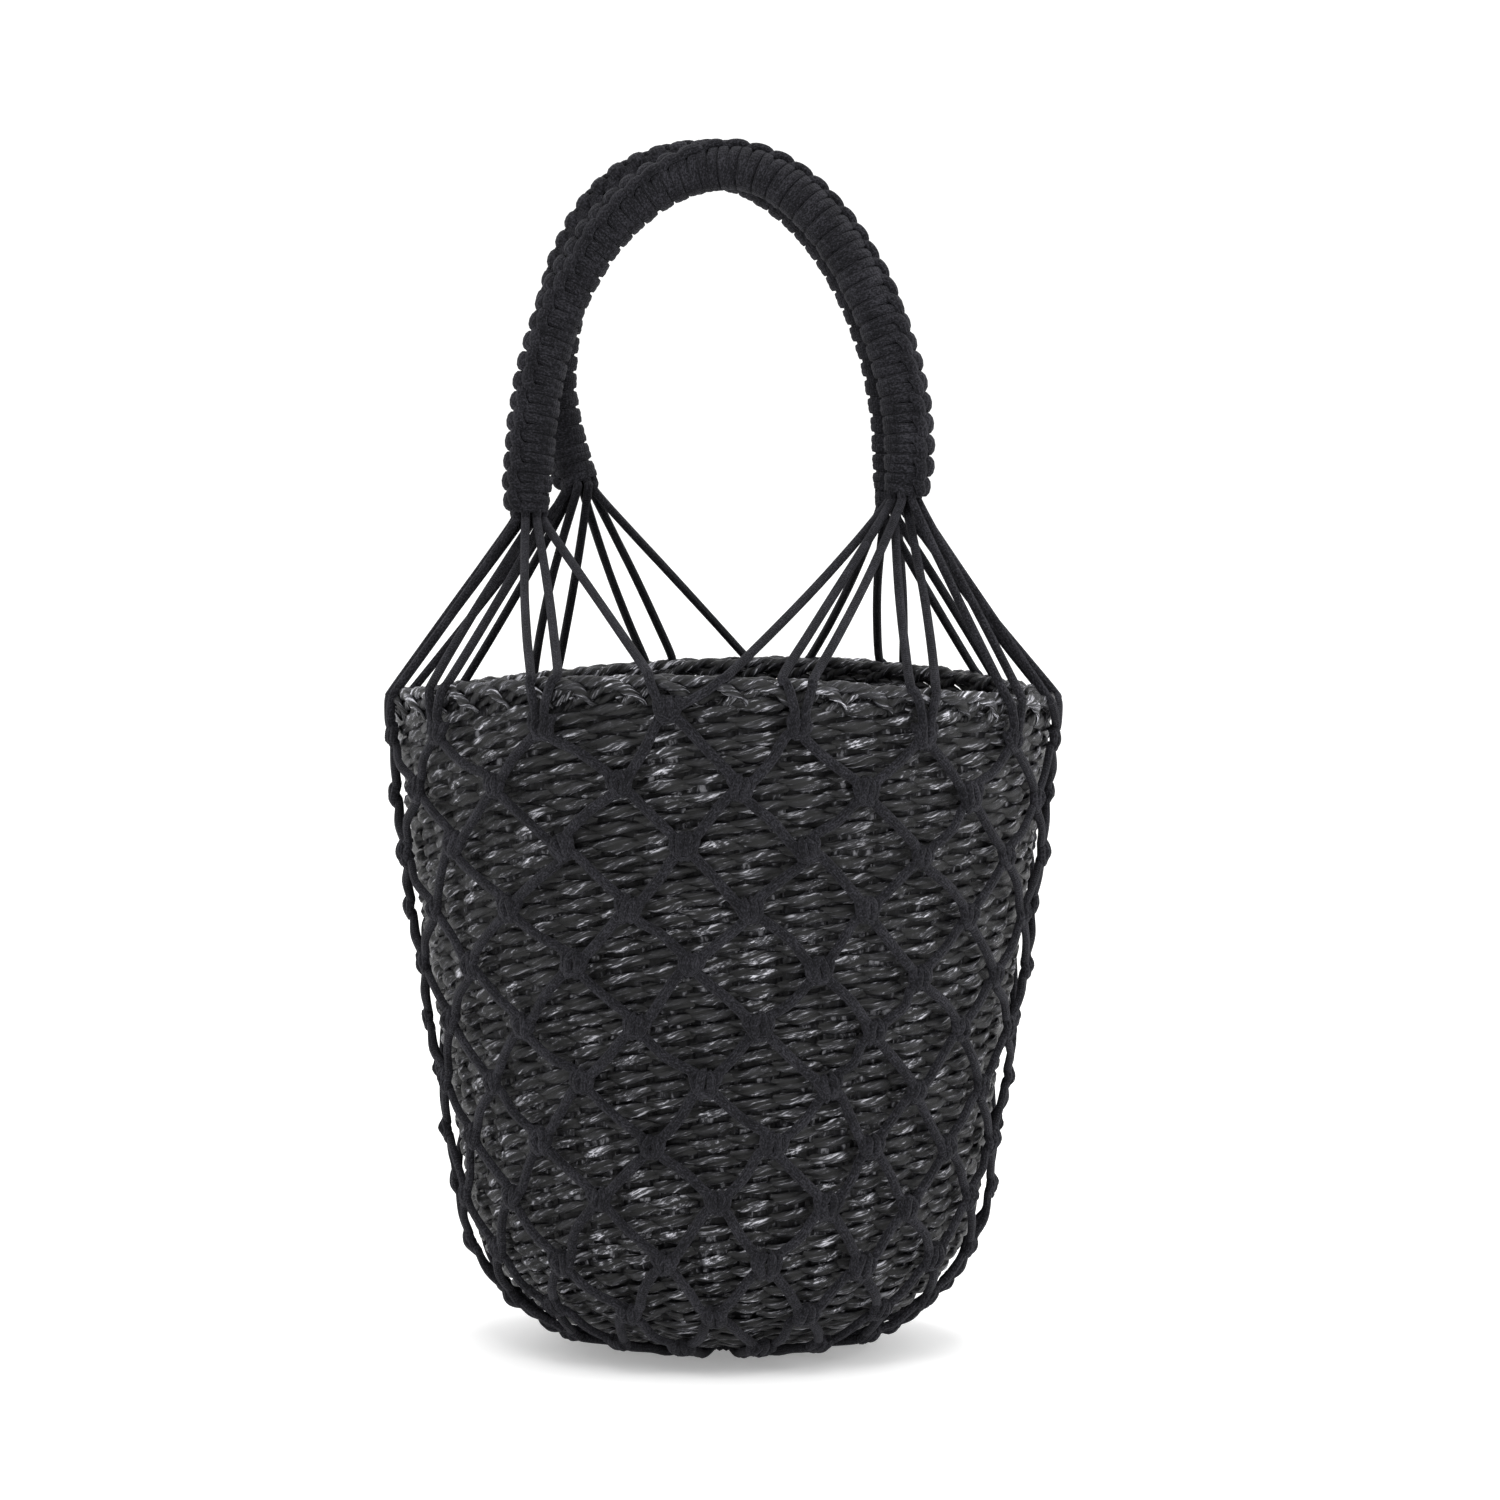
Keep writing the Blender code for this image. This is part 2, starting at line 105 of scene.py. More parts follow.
END_TAPER = 0.88
END_TAPER_REACH = 14.0 * MM
CORDS_PER_END = 8
CORD_FAN_DROP = 3.3 * MM
CORD_RING = 1.5
PAIR_SPREAD = 5.5 * MM
SHARED_SPREAD = 14.0 * MM
CORD_SLOTS = (0, 315, 270, 45, 90, 225, 180, 135)

# The net has slipped to the right at two places: degrees round the bag, depth down it, how far
# it slipped there, and how wide and how deep the slip reaches.
NET_SLIPS = (
    {"angle": -14.0, "depth": 37.0 * MM, "slip": 9.0 * MM, "width": 14.0, "reach": 38.0 * MM},
    {"angle": 18.0, "depth": 141.0 * MM, "slip": 6.0 * MM, "width": 18.0, "reach": 40.0 * MM},
)

# The middle front knot is pulled up, and its two cords cross the border at other distances
# beside it: one for each end of the front handle.
PULLED_KNOT = (0, 0)
PULLED_UP = 5.0 * MM
PULLED_SPREAD = {-1: 8.0 * MM, 1: 21.0 * MM}

# How far beside its knot a cord runs on the border's top, shoulder and side, as shares.
RIM_SLANT = (1.0, 0.84, 0.6)

# Woven straw: one weft spirals down over and under an odd number of warps, so that each
# turn passes on the other side of them. The warps are flat strips that nearly touch, so that
# no light shines through, and with their darker straw they form a dark sheet of painted shade
# behind the gaps between the stitches. Fewer of them reach the floor.
WEFT_PITCH = 2.93 * MM
WEFT_SWING = 1.6 * MM
WEFT_TILT = 0.6 * MM
WEFT_THICKNESS = 2.5 * MM
WEFT_HEIGHT_AT_WARP = 4.75 * MM
WEFT_HEIGHT_BETWEEN = 3.6 * MM
WEFT_LAY = 42.0 * MM
PLY_GROOVE = 0.2
WARP_THICKNESS = 1.0 * MM
WARP_WIDTH = 20.0 * MM
WARP_POINTS = 24
WEAVE_START = -1.5 * MM
WEAVE_ZONES = (
    {"name": "wall", "turns": 38, "warps": 43, "steps": 7},
    {"name": "foot", "turns": 38, "warps": 43, "steps": 7},
    {"name": "floor_edge", "turns": 14, "warps": 21, "steps": 5},
    {"name": "floor", "turns": 12, "warps": 11, "steps": 5},
)

# How much the stitches vary: height and tilt as shares, rise and way out in metres.
WEFT_SPREADS = (("height", 0.09), ("rise", 0.2 * MM), ("out", 0.2 * MM), ("tilt", 0.35))

# A stitch is full where it passes over a warp. The higher the power, the shorter it is full.
FULLNESS_POWER = 1.3

# The straw's colour is painted darker where it dives under other strands, as painted shade,
# and brighter on top of them, as painted light: its share underneath and how much it gains,
# for the weft by its fullness, and for the border by millimetres out.
WEFT_SHADE_UNDER = 0.16
WEFT_SHADE_GAIN = 0.96
WEFT_SHADE_STEEPNESS = 1.2
BORDER_SHADE_UNDER = 0.4
BORDER_SHADE_GAIN = 1.2
BORDER_SHADE_START = 0.3
BORDER_SHADE_REACH = 1.9

# One border strand, in steps of the warps' spacing, and out and up from the border's middle
# in millimetres. It leaves the weave, rises behind the next arches, runs along the edge and
# dives behind the next strands. The inner ones lie flatter. The spreads vary the points in
# the same units, and each strand thins towards its ends.
BORDER_ROUTE = (
    (0.0, -0.6, -7.4), (0.2, 0.6, -4.8), (0.5, 1.0, -2.0), (0.85, 1.1, 0.8), (1.2, 1.5, 2.7),
    (1.6, 2.3, 3.4), (2.0, 3.0, 2.9), (2.3, 3.3, 1.2), (2.5, 2.9, -1.3), (2.62, 1.9, -3.6),
    (2.68, 0.2, -5.6),
)
INNER_BORDER_ROUTE = (
    (0.0, -0.6, -5.6), (0.4, 0.8, -2.2), (0.85, 1.4, 1.2), (1.3, 1.9, 3.0), (1.75, 2.2, 3.3),
    (2.2, 2.2, 1.9), (2.55, 1.7, -0.6), (2.8, 0.8, -3.0), (3.0, 0.0, -5.2),
)
BORDER_SPREADS = (0.04, 0.16, 0.25)
BORDER_THICKNESS = 3.1 * MM
BORDER_WIDTH = 4.0 * MM
BORDER_LAY = 17.0 * MM
BORDER_END_TAPER = 0.5
BORDER_TAPER_STEPS = 0.3

# Strands of a knot, in millimetres to the right, up and out from where it sits, and how thick
# they are: two that turn round its flanks and two that stand in front. The left ones mirror
# these.
KNOT_FLANK = (
    (3.6, 3.9, 1.5), (3.6, 2.2, 2.0), (3.2, 0.2, 2.4),
    (2.4, -1.7, 2.4), (0.7, -2.9, 2.5), (-1.4, -2.4, 2.2),
)
KNOT_FRONT = (
    (0.2, 4.0, 1.0), (1.1, 3.1, 2.3), (1.6, 1.2, 3.2),
    (1.5, -0.8, 3.2), (1.2, -2.7, 2.3), (1.9, -4.0, 1.5),
)
KNOT_STRANDS = ((KNOT_FLANK, 3.2 * MM), (KNOT_FRONT, 3.3 * MM))

# How much the knots vary: place in metres, lean, size as a share, and routes in millimetres.
KNOT_SCATTER = 0.7 * MM
KNOT_LEAN = math.radians(9)
KNOT_SIZE_SPREAD = 0.07
KNOT_ROUTE_SPREAD = 0.25

# Where a right-hand cord leaves its knot and where it enters the next one, in the same
# millimetres, and how much its middle varies round the bag, down it and outwards, in metres.
CORD_LEAVES = ((1.6, -1.8, 1.6), (4.0, -4.2, 1.7))
CORD_ENTERS = ((-4.4, 4.3, 1.7), (-2.2, 2.4, 1.6))
CORD_SPREADS = (0.6 * MM, 0.5 * MM, 0.7 * MM)

# Under the floor: where a right-hand cord leaves the lowest knots, how the cords of a pair
# come in beside each other and tuck under, and the ring wound round all their ends.
UNDER_LEAVES = ((1.6, -2.6, 1.4), (1.9, -5.2, 1.65))
UNDER_RADIUS = 17.5 * MM
UNDER_PAIR_SPREAD = 1.5 * MM
UNDER_PAIR_TURN = 0.02
UNDER_ROOM = 0.5 * MM
UNDER_TUCK = 3.0 * MM
UNDER_TUCK_HEIGHT = 1.8 * MM
RING_WINDS = 46
RING_POINTS = 10
RING_RADIUS = 17.0 * MM
RING_HEIGHT = 2.9 * MM
RING_HALF_WIDTH = 2.4 * MM
RING_HALF_DEPTH = 1.6 * MM
RING_CORD_THICKNESS = 2.4 * MM
RING_CORD_WIDTH = 2.6 * MM

# Hitches round the handles: two wraps for each knuckle of the ridge, slanted to and fro, and
# how much each wrap's place, slant and reach vary in metres, and its width as a share. The
# core and the lobes stop short of the handle's ends.
WRAP_PITCH = 3.55 * MM
WRAP_WIDTH = 3.9 * MM
WRAP_SQUARENESS = 0.7
WRAP_DEPTH = 2.6 * MM
WRAP_SLANT = 0.9 * MM
WRAP_SLANT_BACK = -0.4
WRAP_POINTS = 26
WRAP_PLACE_SPREAD = 0.12 * MM
WRAP_SLANT_SPREAD = 0.15 * MM
WRAP_REACH_SPREAD = 0.1 * MM
WRAP_WIDTH_SPREAD = 0.03
CORE_INSET = 1.5 * MM
CORE_POINTS = 90

# The ridge has a knuckle for each two wraps and a spine of smaller lobes beside them. Their
# routes are degrees round the handle from the ridge, and millimetres along and out, with the
# same rise added to all. Their length and rise vary as shares, and their turn in degrees.
LOBES = (
    {
        "width": 6.8 * MM, "depth": 3.5 * MM, "shift": 0.0,
        "route": (
            (30, -0.9, -1.4), (19, -0.4, 0.6), (6, 0.2, 1.5),
            (-8, 0.6, 1.4), (-21, 0.8, 0.5), (-34, 0.9, -1.6),
        ),
    },
    {
        "width": 4.6 * MM, "depth": 3.4 * MM, "shift": 0.5,
        "route": (
            (48, -4.2, -1.0), (42, -2.5, 0.9), (37, -0.2, 1.6), (34, 2.1, 1.3), (27, 3.9, -0.6),
        ),
    },
)
LOBE_RISE = 1.0
LOBE_LENGTH_SPREAD = 0.05
LOBE_TURN_SPREAD = 3
LOBE_RISE_SPREAD = 0.06

# Where the ridge runs, in degrees from the arch's outer side towards the side away from the
# other handle, at shares of the handle's length.
RIDGES = {
    "front": (
        (0.0, 10), (0.15, 22), (0.3, 32), (0.42, 16), (0.48, -10),
        (0.55, -52), (0.73, -52), (0.82, 0), (1.0, 5),
    ),
    "back": (
        (0.0, 5), (0.15, -5), (0.35, -15), (0.5, -28), (0.7, -36), (0.8, 0), (1.0, 5),
    ),
}

# A handle's middle line is softened over a window of its points, but not at its ends.
LINE_POINTS = 401
LINE_WINDOW = 23
LINE_BLEND = 24

# A gather cord starts this share of the handle's length inside its end. Between the handle
# and the border it bows aside, in millimetres, most at the middle of its run. It lies on the
# border at shares of the turn from the border's side to its top, and ends inside its knot.
CORD_TOP_SHARE = 0.022
CORD_FAN_SHARE = 0.2
CORD_BOW = 1.2
CORD_BOW_SPREAD = 0.7
CORD_BOW_PARTS = ((0.22, 0.6), (0.5, 1.0), (0.78, 0.7))
BORDER_TOUCHES = (1.0, 0.55, 0.0)
BORDER_TOP_ROOM = 1.06
CORD_END_RISE = 2.5 * MM
CORD_END_OUT = 2.2 * MM

# Colours by a noise's value. The straw's run from near black at the creases' bottom, as painted
# shade, through its own charcoal to bright streaks that are painted highlights, its glints. The
# cotton's run from dark to pale fibres.
STRAW_TONES_AND_PAINTED_GLINTS = (
    (0.42, (0.002, 0.002, 0.0025)), (0.5, (0.0092, 0.0092, 0.0107)),
    (0.555, (0.045, 0.045, 0.0515)), (0.63, (0.44, 0.44, 0.475)),
)
COTTON_COLOURS = (
    (0.42, (0.001, 0.001, 0.0014)), (0.5, (0.0062, 0.0061, 0.0078)),
    (0.59, (0.028, 0.0275, 0.033)),
)
FLOOR_COLOURS = ((0.3, (0.9, 0.9, 0.9)), (0.7, (0.93, 0.93, 0.93)))

# The cord's plaited stitches: their length in millimetres, and how many go round.
PLAIT_LENGTH = 2.1
PLAITS_ROUND = 4

# Gain of the straw's colour and gloss, outside and for the warps, which lie in its shade: the
# warps' lower gain is painted shade, a darker copy of the straw.
STRAW_GAIN = 1.1
WARP_PAINTED_SHADE_GAIN = 0.4
STRAW_SPECULAR = 0.27

# Staging: soft lamps by place, width and power, all turned to the bag, and the pale floor.
LAMPS = (
    ("key", (0.15, -1.6, 1.9), 0.9, 17),
    ("top", (0.15, 0.7, 2.3), 0.7, 14),
    ("right", (1.9, -0.4, 1.0), 0.8, 8.5),
)
LAMP_TARGET_HEIGHT = 0.2
WORLD_STRENGTH = 1.15
GROUND_RADIUS = 60.0
GROUND_SIDES = 64
GROUND_GLOW = 0.28

CORD_RADIUS = CORD_DIAMETER / 2
HANDLE_RADIUS = HANDLE_DIAMETER / 2
BUCKET_UNDERSIDE = BASE_THICKNESS + FIT
KNOT_STEP = 2 * math.pi / KNOTS_PER_ROW
PROFILE_STEPS = 60
STEPS_ABOVE_EDGE = 10

# The soft cord flattens a little where it lies on the bucket.
CORD_THICKNESS = 0.9 * CORD_DIAMETER
CORD_WIDTH = 1.12 * CORD_DIAMETER


def smooth(share):
    """Ease from 0 to 1."""
    share = np.clip(share, 0.0, 1.0)
    return share * share * (3 - 2 * share)


def unit(vectors):
    """Rows made one long."""
    return vectors / np.linalg.norm(vectors, axis=-1, keepdims=True)


def bucket_profile():
    """Points (radius, height) down the bucket's outside: above its edge, wall, foot, floor."""
    share = np.linspace(0, 1, PROFILE_STEPS + 1)
    wall_r = BUCKET_TOP_RADIUS + (FOOT_RADIUS - BUCKET_TOP_RADIUS) * share
    wall_r += WALL_BULGE * np.sin(math.pi * share)
    wall_z = BUCKET_TOP_HEIGHT + (FOOT_HEIGHT - BUCKET_TOP_HEIGHT) * share
    wall = np.column_stack([wall_r, wall_z])
    turn = math.pi / 2 * (1 - share[1:])
    foot_r = FLOOR_RADIUS + (FOOT_RADIUS - FLOOR_RADIUS) * np.sin(turn)
    foot_z = FOOT_HEIGHT - (FOOT_HEIGHT - BUCKET_UNDERSIDE) * np.cos(turn)
    above = wall[0] + (wall[0] - wall[1]) * STEPS_ABOVE_EDGE
    centre = np.array([MM, BUCKET_UNDERSIDE])
    return np.vstack([above, wall, np.column_stack([foot_r, foot_z]), centre])


PROFILE = bucket_profile()
PROFILE_LENGTHS = np.linalg.norm(np.diff(PROFILE, axis=0), axis=1)
PROFILE_DEPTHS = np.concatenate([[0.0], np.cumsum(PROFILE_LENGTHS)]) - PROFILE_LENGTHS[0]
FLOOR_DEPTH = PROFILE_DEPTHS[-2]
ROW_PITCH = (FLOOR_DEPTH - FIRST_KNOT_DEPTH) / ROWS_TO_FLOOR
PROFILE_ALONG = unit(np.gradient(PROFILE, axis=0))


def skin(depth, offset=0.0):
    """Radius and height at depths down the bucket's outside, moved out by an offset."""
    along_r = np.interp(depth, PROFILE_DEPTHS, PROFILE_ALONG[:, 0])
    along_z = np.interp(depth, PROFILE_DEPTHS, PROFILE_ALONG[:, 1])
    radius = np.interp(depth, PROFILE_DEPTHS, PROFILE[:, 0]) - along_z * offset
    height = np.interp(depth, PROFILE_DEPTHS, PROFILE[:, 1]) + along_r * offset
    return radius, height


def round_bag(angle, radius, height):
    """Points at angles from the bag's front."""
    angle, radius, height = np.broadcast_arrays(angle, radius, height)
    return np.stack([radius * np.sin(angle), -radius * np.cos(angle), height], axis=-1)


def on_bag(angle, depth, offset=0.0):
    """Points on the bucket's outside, moved out by an offset."""
    return round_bag(angle, *skin(depth, offset))


def out_of_bag(angle, depth):
    """Directions straight out of the bucket's outside."""
    return unit(on_bag(angle, depth, MM) - on_bag(angle, depth))


def lift(angle, depth=0.0):
    """How far the saddle raises the weave or the net, fading out over the rounded foot."""
    return SADDLE * np.cos(2 * angle) * smooth((FLOOR_DEPTH - depth) / (FLOOR_DEPTH / 2))


def standoff(depth):
    """Gap between the net and the bucket: tight at the top, slack lower down."""
    share = smooth(depth / STANDOFF_REACH)
    return NET_STANDOFF_TOP + (NET_STANDOFF_LOW - NET_STANDOFF_TOP) * share


def curve_through(points, steps):
    """Smooth curve through points, with the same number of steps between each two."""
    points = np.asarray(points, float)
    ends = np.vstack([2 * points[0] - points[1], points, 2 * points[-1] - points[-2]])
    share = np.arange(steps)[:, None] / steps
    runs = []
    for a, b, c, d in zip(ends, ends[1:], ends[2:], ends[3:]):
        bend = 2 * a - 5 * b + 4 * c - d
        turn = 3 * b - a - 3 * c + d
        runs.append(b + 0.5 * share * ((c - a) + share * (bend + share * turn)))
    return np.vstack(runs + [points[-1:]])


def tube_faces(number, rings, sides):
    """Quads between the rings of a tube, as the numbers of their corners."""
    row = np.arange(rings)[:, None]
    after = (row + 1) % number
    side = np.arange(sides)[None, :]
    beside = (side + 1) % sides
    corners = (
        row * sides + side, row * sides + beside,
        after * sides + beside, after * sides + side,
    )
    return np.stack(corners, axis=-1).reshape(-1, 4)


def tube_maps(length, rings, sides, lag):
    """The same corners as millimetres along the tube and turns round it."""
    along = length[:, None] / MM
    side = np.arange(sides)[None, :]
    here, there = slice(0, rings), slice(1, rings + 1)
    corners = []
    for rows, beyond in ((here, 0), (here, 1), (there, 1), (there, 0)):
        around = (side + beyond) / sides + lag[rows]
        corners.append(np.stack(np.broadcast_arrays(along[rows], around), axis=-1))
    return np.stack(corners, axis=2).reshape(-1, 2)


def squared(wave, power):
    """A sine or cosine made steeper, which makes an oval squarer."""
    return np.sign(wave) * np.abs(wave) ** power


class Strands:
    """Swept strands in one mesh, each with its own tint, painted shade and a map along and round
    it.
    """

    def __init__(self):
        self.points, self.faces, self.caps = [], [], []
        self.maps, self.cap_maps = [], []
        self.tints, self.shades = [], []
        self.count = 0

    def add(
        self, path, outs, thickness, width, sides=8, tint=0.5, closed=False, plies=None,
        square=1.0, shade=1.0,
    ):
        """Strand with an oval section: its thickness lies along outs and its width across them.

        plies gives the depth of the grooves between two twisted plies and a turn's length,
        and the map then follows the plies. A square below 1 makes the oval squarer. A shade
        below 1 is painted shade that darkens the strand where it dives under others, and a shade
        above 1 is painted light.
        """
        path = np.asarray(path, float)
        number = len(path)
        if closed:
            along = unit(np.roll(path, -1, axis=0) - np.roll(path, 1, axis=0))
        else:
            along = unit(np.gradient(path, axis=0))
        outs = np.broadcast_to(outs, path.shape)
        across = unit(np.cross(along, outs))
        upward = np.cross(across, along)
        steps = np.linalg.norm(np.diff(path, axis=0), axis=1)
        length = np.concatenate([[0.0], np.cumsum(steps)])
        turn = np.linspace(0, 2 * math.pi, sides, endpoint=False)[None, :]
        half_out = np.broadcast_to(np.asarray(thickness, float) / 2, (number,))[:, None]
        half_side = np.broadcast_to(np.asarray(width, float) / 2, (number,))[:, None]
        if plies:
            groove, pitch = plies
            wave = np.cos(2 * (turn + 2 * math.pi * length[:, None] / pitch))
            swell = 1 + groove * wave
        else:
            swell = 1.0
        reach_out = half_out * squared(np.cos(turn), square) * swell
        reach_side = half_side * squared(np.sin(turn), square) * swell
        offset_out = reach_out[:, :, None] * upward[:, None, :]
        offset_side = reach_side[:, :, None] * across[:, None, :]
        ring = path[:, None, :] + offset_out + offset_side
        rings = number if closed else number - 1
        if closed:
            last = np.linalg.norm(path[-1] - path[0])
            length = np.append(length, length[-1] + last)
        lag = length[:, None] / plies[1] if plies else np.zeros((len(length), 1))
        self.maps.append(tube_maps(length, rings, sides, lag))
        self.points.append(ring.reshape(-1, 3))
        self.faces.append(tube_faces(number, rings, sides) + self.count)
        for values, value in ((self.tints, tint), (self.shades, shade)):
            values.append(np.repeat(np.broadcast_to(np.asarray(value, float), (number,)), sides))
        if not closed:
            for first, at in ((0, 0.0), ((number - 1) * sides, length[-1] / MM)):
                cap = np.arange(sides) + first + self.count
                self.caps.append(cap if first else cap[::-1])
                around = np.arange(sides) / sides
                self.cap_maps.append(np.column_stack([np.full(sides, at), around]))
        self.count += number * sides

    def build(self, piece_name, look, slot, node):
        """The mesh as an object that rides on the bag, with the CAD node that it replaces hidden.
        """
        points = np.concatenate(self.points)
        faces = np.concatenate(self.faces)
        loops = np.concatenate([faces.ravel()] + self.caps)
        starts = np.arange(len(faces)) * 4
        if self.caps:
            sizes = [len(cap) for cap in self.caps]
            cap_starts = len(faces) * 4 + np.concatenate([[0], np.cumsum(sizes)[:-1]])
            starts = np.concatenate([starts, cap_starts])
        mesh = bpy.data.meshes.new(piece_name)
        mesh.vertices.add(len(points))
        mesh.vertices.foreach_set("co", points.astype(np.float32).ravel())
        mesh.loops.add(len(loops))
        mesh.loops.foreach_set("vertex_index", loops.astype(np.int32))
        mesh.polygons.add(len(starts))
        mesh.polygons.foreach_set("loop_start", starts.astype(np.int32))
        layer = mesh.uv_layers.new(name="strand")
        maps = np.concatenate(self.maps + self.cap_maps)
        layer.uv.foreach_set("vector", maps.astype(np.float32).ravel())
        for name, values in (("tint", self.tints), ("shade", self.shades)):
            layer = mesh.attributes.new(name, "FLOAT", "POINT")
            layer.data.foreach_set("value", np.concatenate(values).astype(np.float32))
        mesh.update(calc_edges=True)
        mesh.validate()
        mesh.shade_smooth()
        mesh.materials.append(look)
        piece = bpy.data.objects.new(piece_name, mesh)
        bpy.context.collection.objects.link(piece)
        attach(piece, "root")
        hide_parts(node)


class Nodes:
    """Short way to add and join the nodes of one material."""

    def __init__(self, name):
        self.material = bpy.data.materials.new(name)
        self.material.use_nodes = True
        self.tree = self.material.node_tree
        self.shader = self.tree.nodes["Principled BSDF"]

    def node(self, kind, **settings):
        made = self.tree.nodes.new(kind)
        for key, value in settings.items():
            setattr(made, key, value)
        return made

    def join(self, source, target):
        self.tree.links.new(source, target)

    def math(self, operation, a, b=None, clamp=False):
        made = self.node("ShaderNodeMath", operation=operation, use_clamp=clamp)
        for index, value in enumerate((a, b)):
            if value is None:
                continue
            if isinstance(value, (int, float)):
                made.inputs[index].default_value = value
            else:
                self.join(value, made.inputs[index])
        return made.outputs[0]

    def strand_place(self, along, around):
        """A place on a strand, with its length and the way round it each stretched."""
        layer = self.node("ShaderNodeUVMap", uv_map="strand")
        mapping = self.node("ShaderNodeMapping")
        mapping.inputs["Scale"].default_value = (along, around, 1)
        self.join(layer.outputs[0], mapping.inputs["Vector"])
        return mapping.outputs[0]

    def strand_parts(self):
        """Millimetres along a strand, and turns round it."""
        layer = self.node("ShaderNodeUVMap", uv_map="strand")
        parts = self.node("ShaderNodeSeparateXYZ")
        self.join(layer.outputs[0], parts.inputs[0])
        return parts.outputs[0], parts.outputs[1]

    def weighted(self, *parts):
        """Sum of values, each times its weight."""
        total = None
        for value, weight in parts:
            scaled = self.math("MULTIPLY", value, weight)
            total = scaled if total is None else self.math("ADD", total, scaled)
        return total

    def noise(self, place, scale, detail, roughness):
        made = self.node("ShaderNodeTexNoise")
        for key, value in (("Scale", scale), ("Detail", detail), ("Roughness", roughness)):
            made.inputs[key].default_value = value
        self.join(place, made.inputs["Vector"])
        return made.outputs["Fac"]

    def body_place(self):
        return self.node("ShaderNodeTexCoord").outputs["Object"]

    def attribute(self, name):
        return self.node("ShaderNodeAttribute", attribute_name=name).outputs["Fac"]

    def ramp(self, value, stops):
        made = self.node("ShaderNodeValToRGB")
        elements = made.color_ramp.elements
        while len(elements) < len(stops):
            elements.new(0.5)
        for element, (position, colour) in zip(elements, stops):
            element.position = position
            element.color = (*colour, 1)
        self.join(value, made.inputs[0])
        return made.outputs[0]

    def shaded(self, colour, share):
        """The colour made darker where the share is low: painted shade."""
        made = self.node("ShaderNodeVectorMath", operation="SCALE")
        self.join(colour, made.inputs[0])
        self.join(share, made.inputs["Scale"])
        return made.outputs[0]

    def bump(self, height, distance, strength=1.0):
        made = self.node("ShaderNodeBump")
        made.inputs["Strength"].default_value = strength
        made.inputs["Distance"].default_value = distance
        self.join(height, made.inputs["Height"])
        return made.outputs[0]

    def finish(self, colour, roughness, normal):
        self.join(colour, self.shader.inputs["Base Color"])
        if isinstance(roughness, float):
            self.shader.inputs["Roughness"].default_value = roughness
        else:
            self.join(roughness, self.shader.inputs["Roughness"])
        self.join(normal, self.shader.inputs["Normal"])
        return self.material


def make_straw(name, gain):
    """Charcoal paper straw: two twisted plies of creased paper, with glossy, bumpy streaks along
    them whose bright colour is painted highlight, and painted shade along the ply groove.

    The gain brightens it, colour and gloss alike; the warps' low-gain copy is painted shade.
    """
    nodes = Nodes(name)
    along, around = nodes.strand_parts()
    tint = nodes.attribute("tint")
    # The groove between the two plies is a real bump and, as painted shade, a dark line in the
    # colour.
    ply = nodes.math("PINGPONG", nodes.math("ADD", nodes.math("MULTIPLY", around, 2.0), 0.5), 0.5)
    groove = nodes.math("SUBTRACT", nodes.math("MULTIPLY", ply, 3.4), 0.22, clamp=True)
    groove = nodes.math("POWER", groove, 0.6)
    place = nodes.node("ShaderNodeCombineXYZ")
    nodes.join(nodes.math("MULTIPLY", along, 0.12), place.inputs[0])
    nodes.join(nodes.math("MULTIPLY", around, 13.0), place.inputs[1])
    nodes.join(nodes.math("MULTIPLY", tint, 9.0), place.inputs[2])
    # The bright streaks in the colour are painted highlights; the same noise also gives real bumps.
    streaks = nodes.noise(place.outputs[0], 1.0, 6.0, 0.68)
    creases = nodes.noise(nodes.body_place(), 420.0, 3.0, 0.6)
    mottle = nodes.noise(nodes.body_place(), 70.0, 2.0, 0.5)
    shade = nodes.weighted((streaks, 0.8), (mottle, 0.14), (tint, 0.06))
    colour = nodes.ramp(shade, STRAW_TONES_AND_PAINTED_GLINTS)
    # Painted shade: the colour darkens along the ply groove, by the gain for the warps, and by the
    # shade attribute where the strand dives under others.
    share = nodes.math("MULTIPLY", nodes.math("MULTIPLY", groove, gain), nodes.attribute("shade"))
    colour = nodes.shaded(colour, share)
    height = nodes.weighted((streaks, 0.8), (creases, 0.3), (groove, 0.8))
    normal = nodes.bump(height, 0.6 * MM)
    roughness = nodes.math("ADD", 0.3, nodes.math("MULTIPLY", creases, 0.3))
    nodes.shader.inputs["Specular IOR Level"].default_value = STRAW_SPECULAR * gain
    return nodes.finish(colour, roughness, normal)


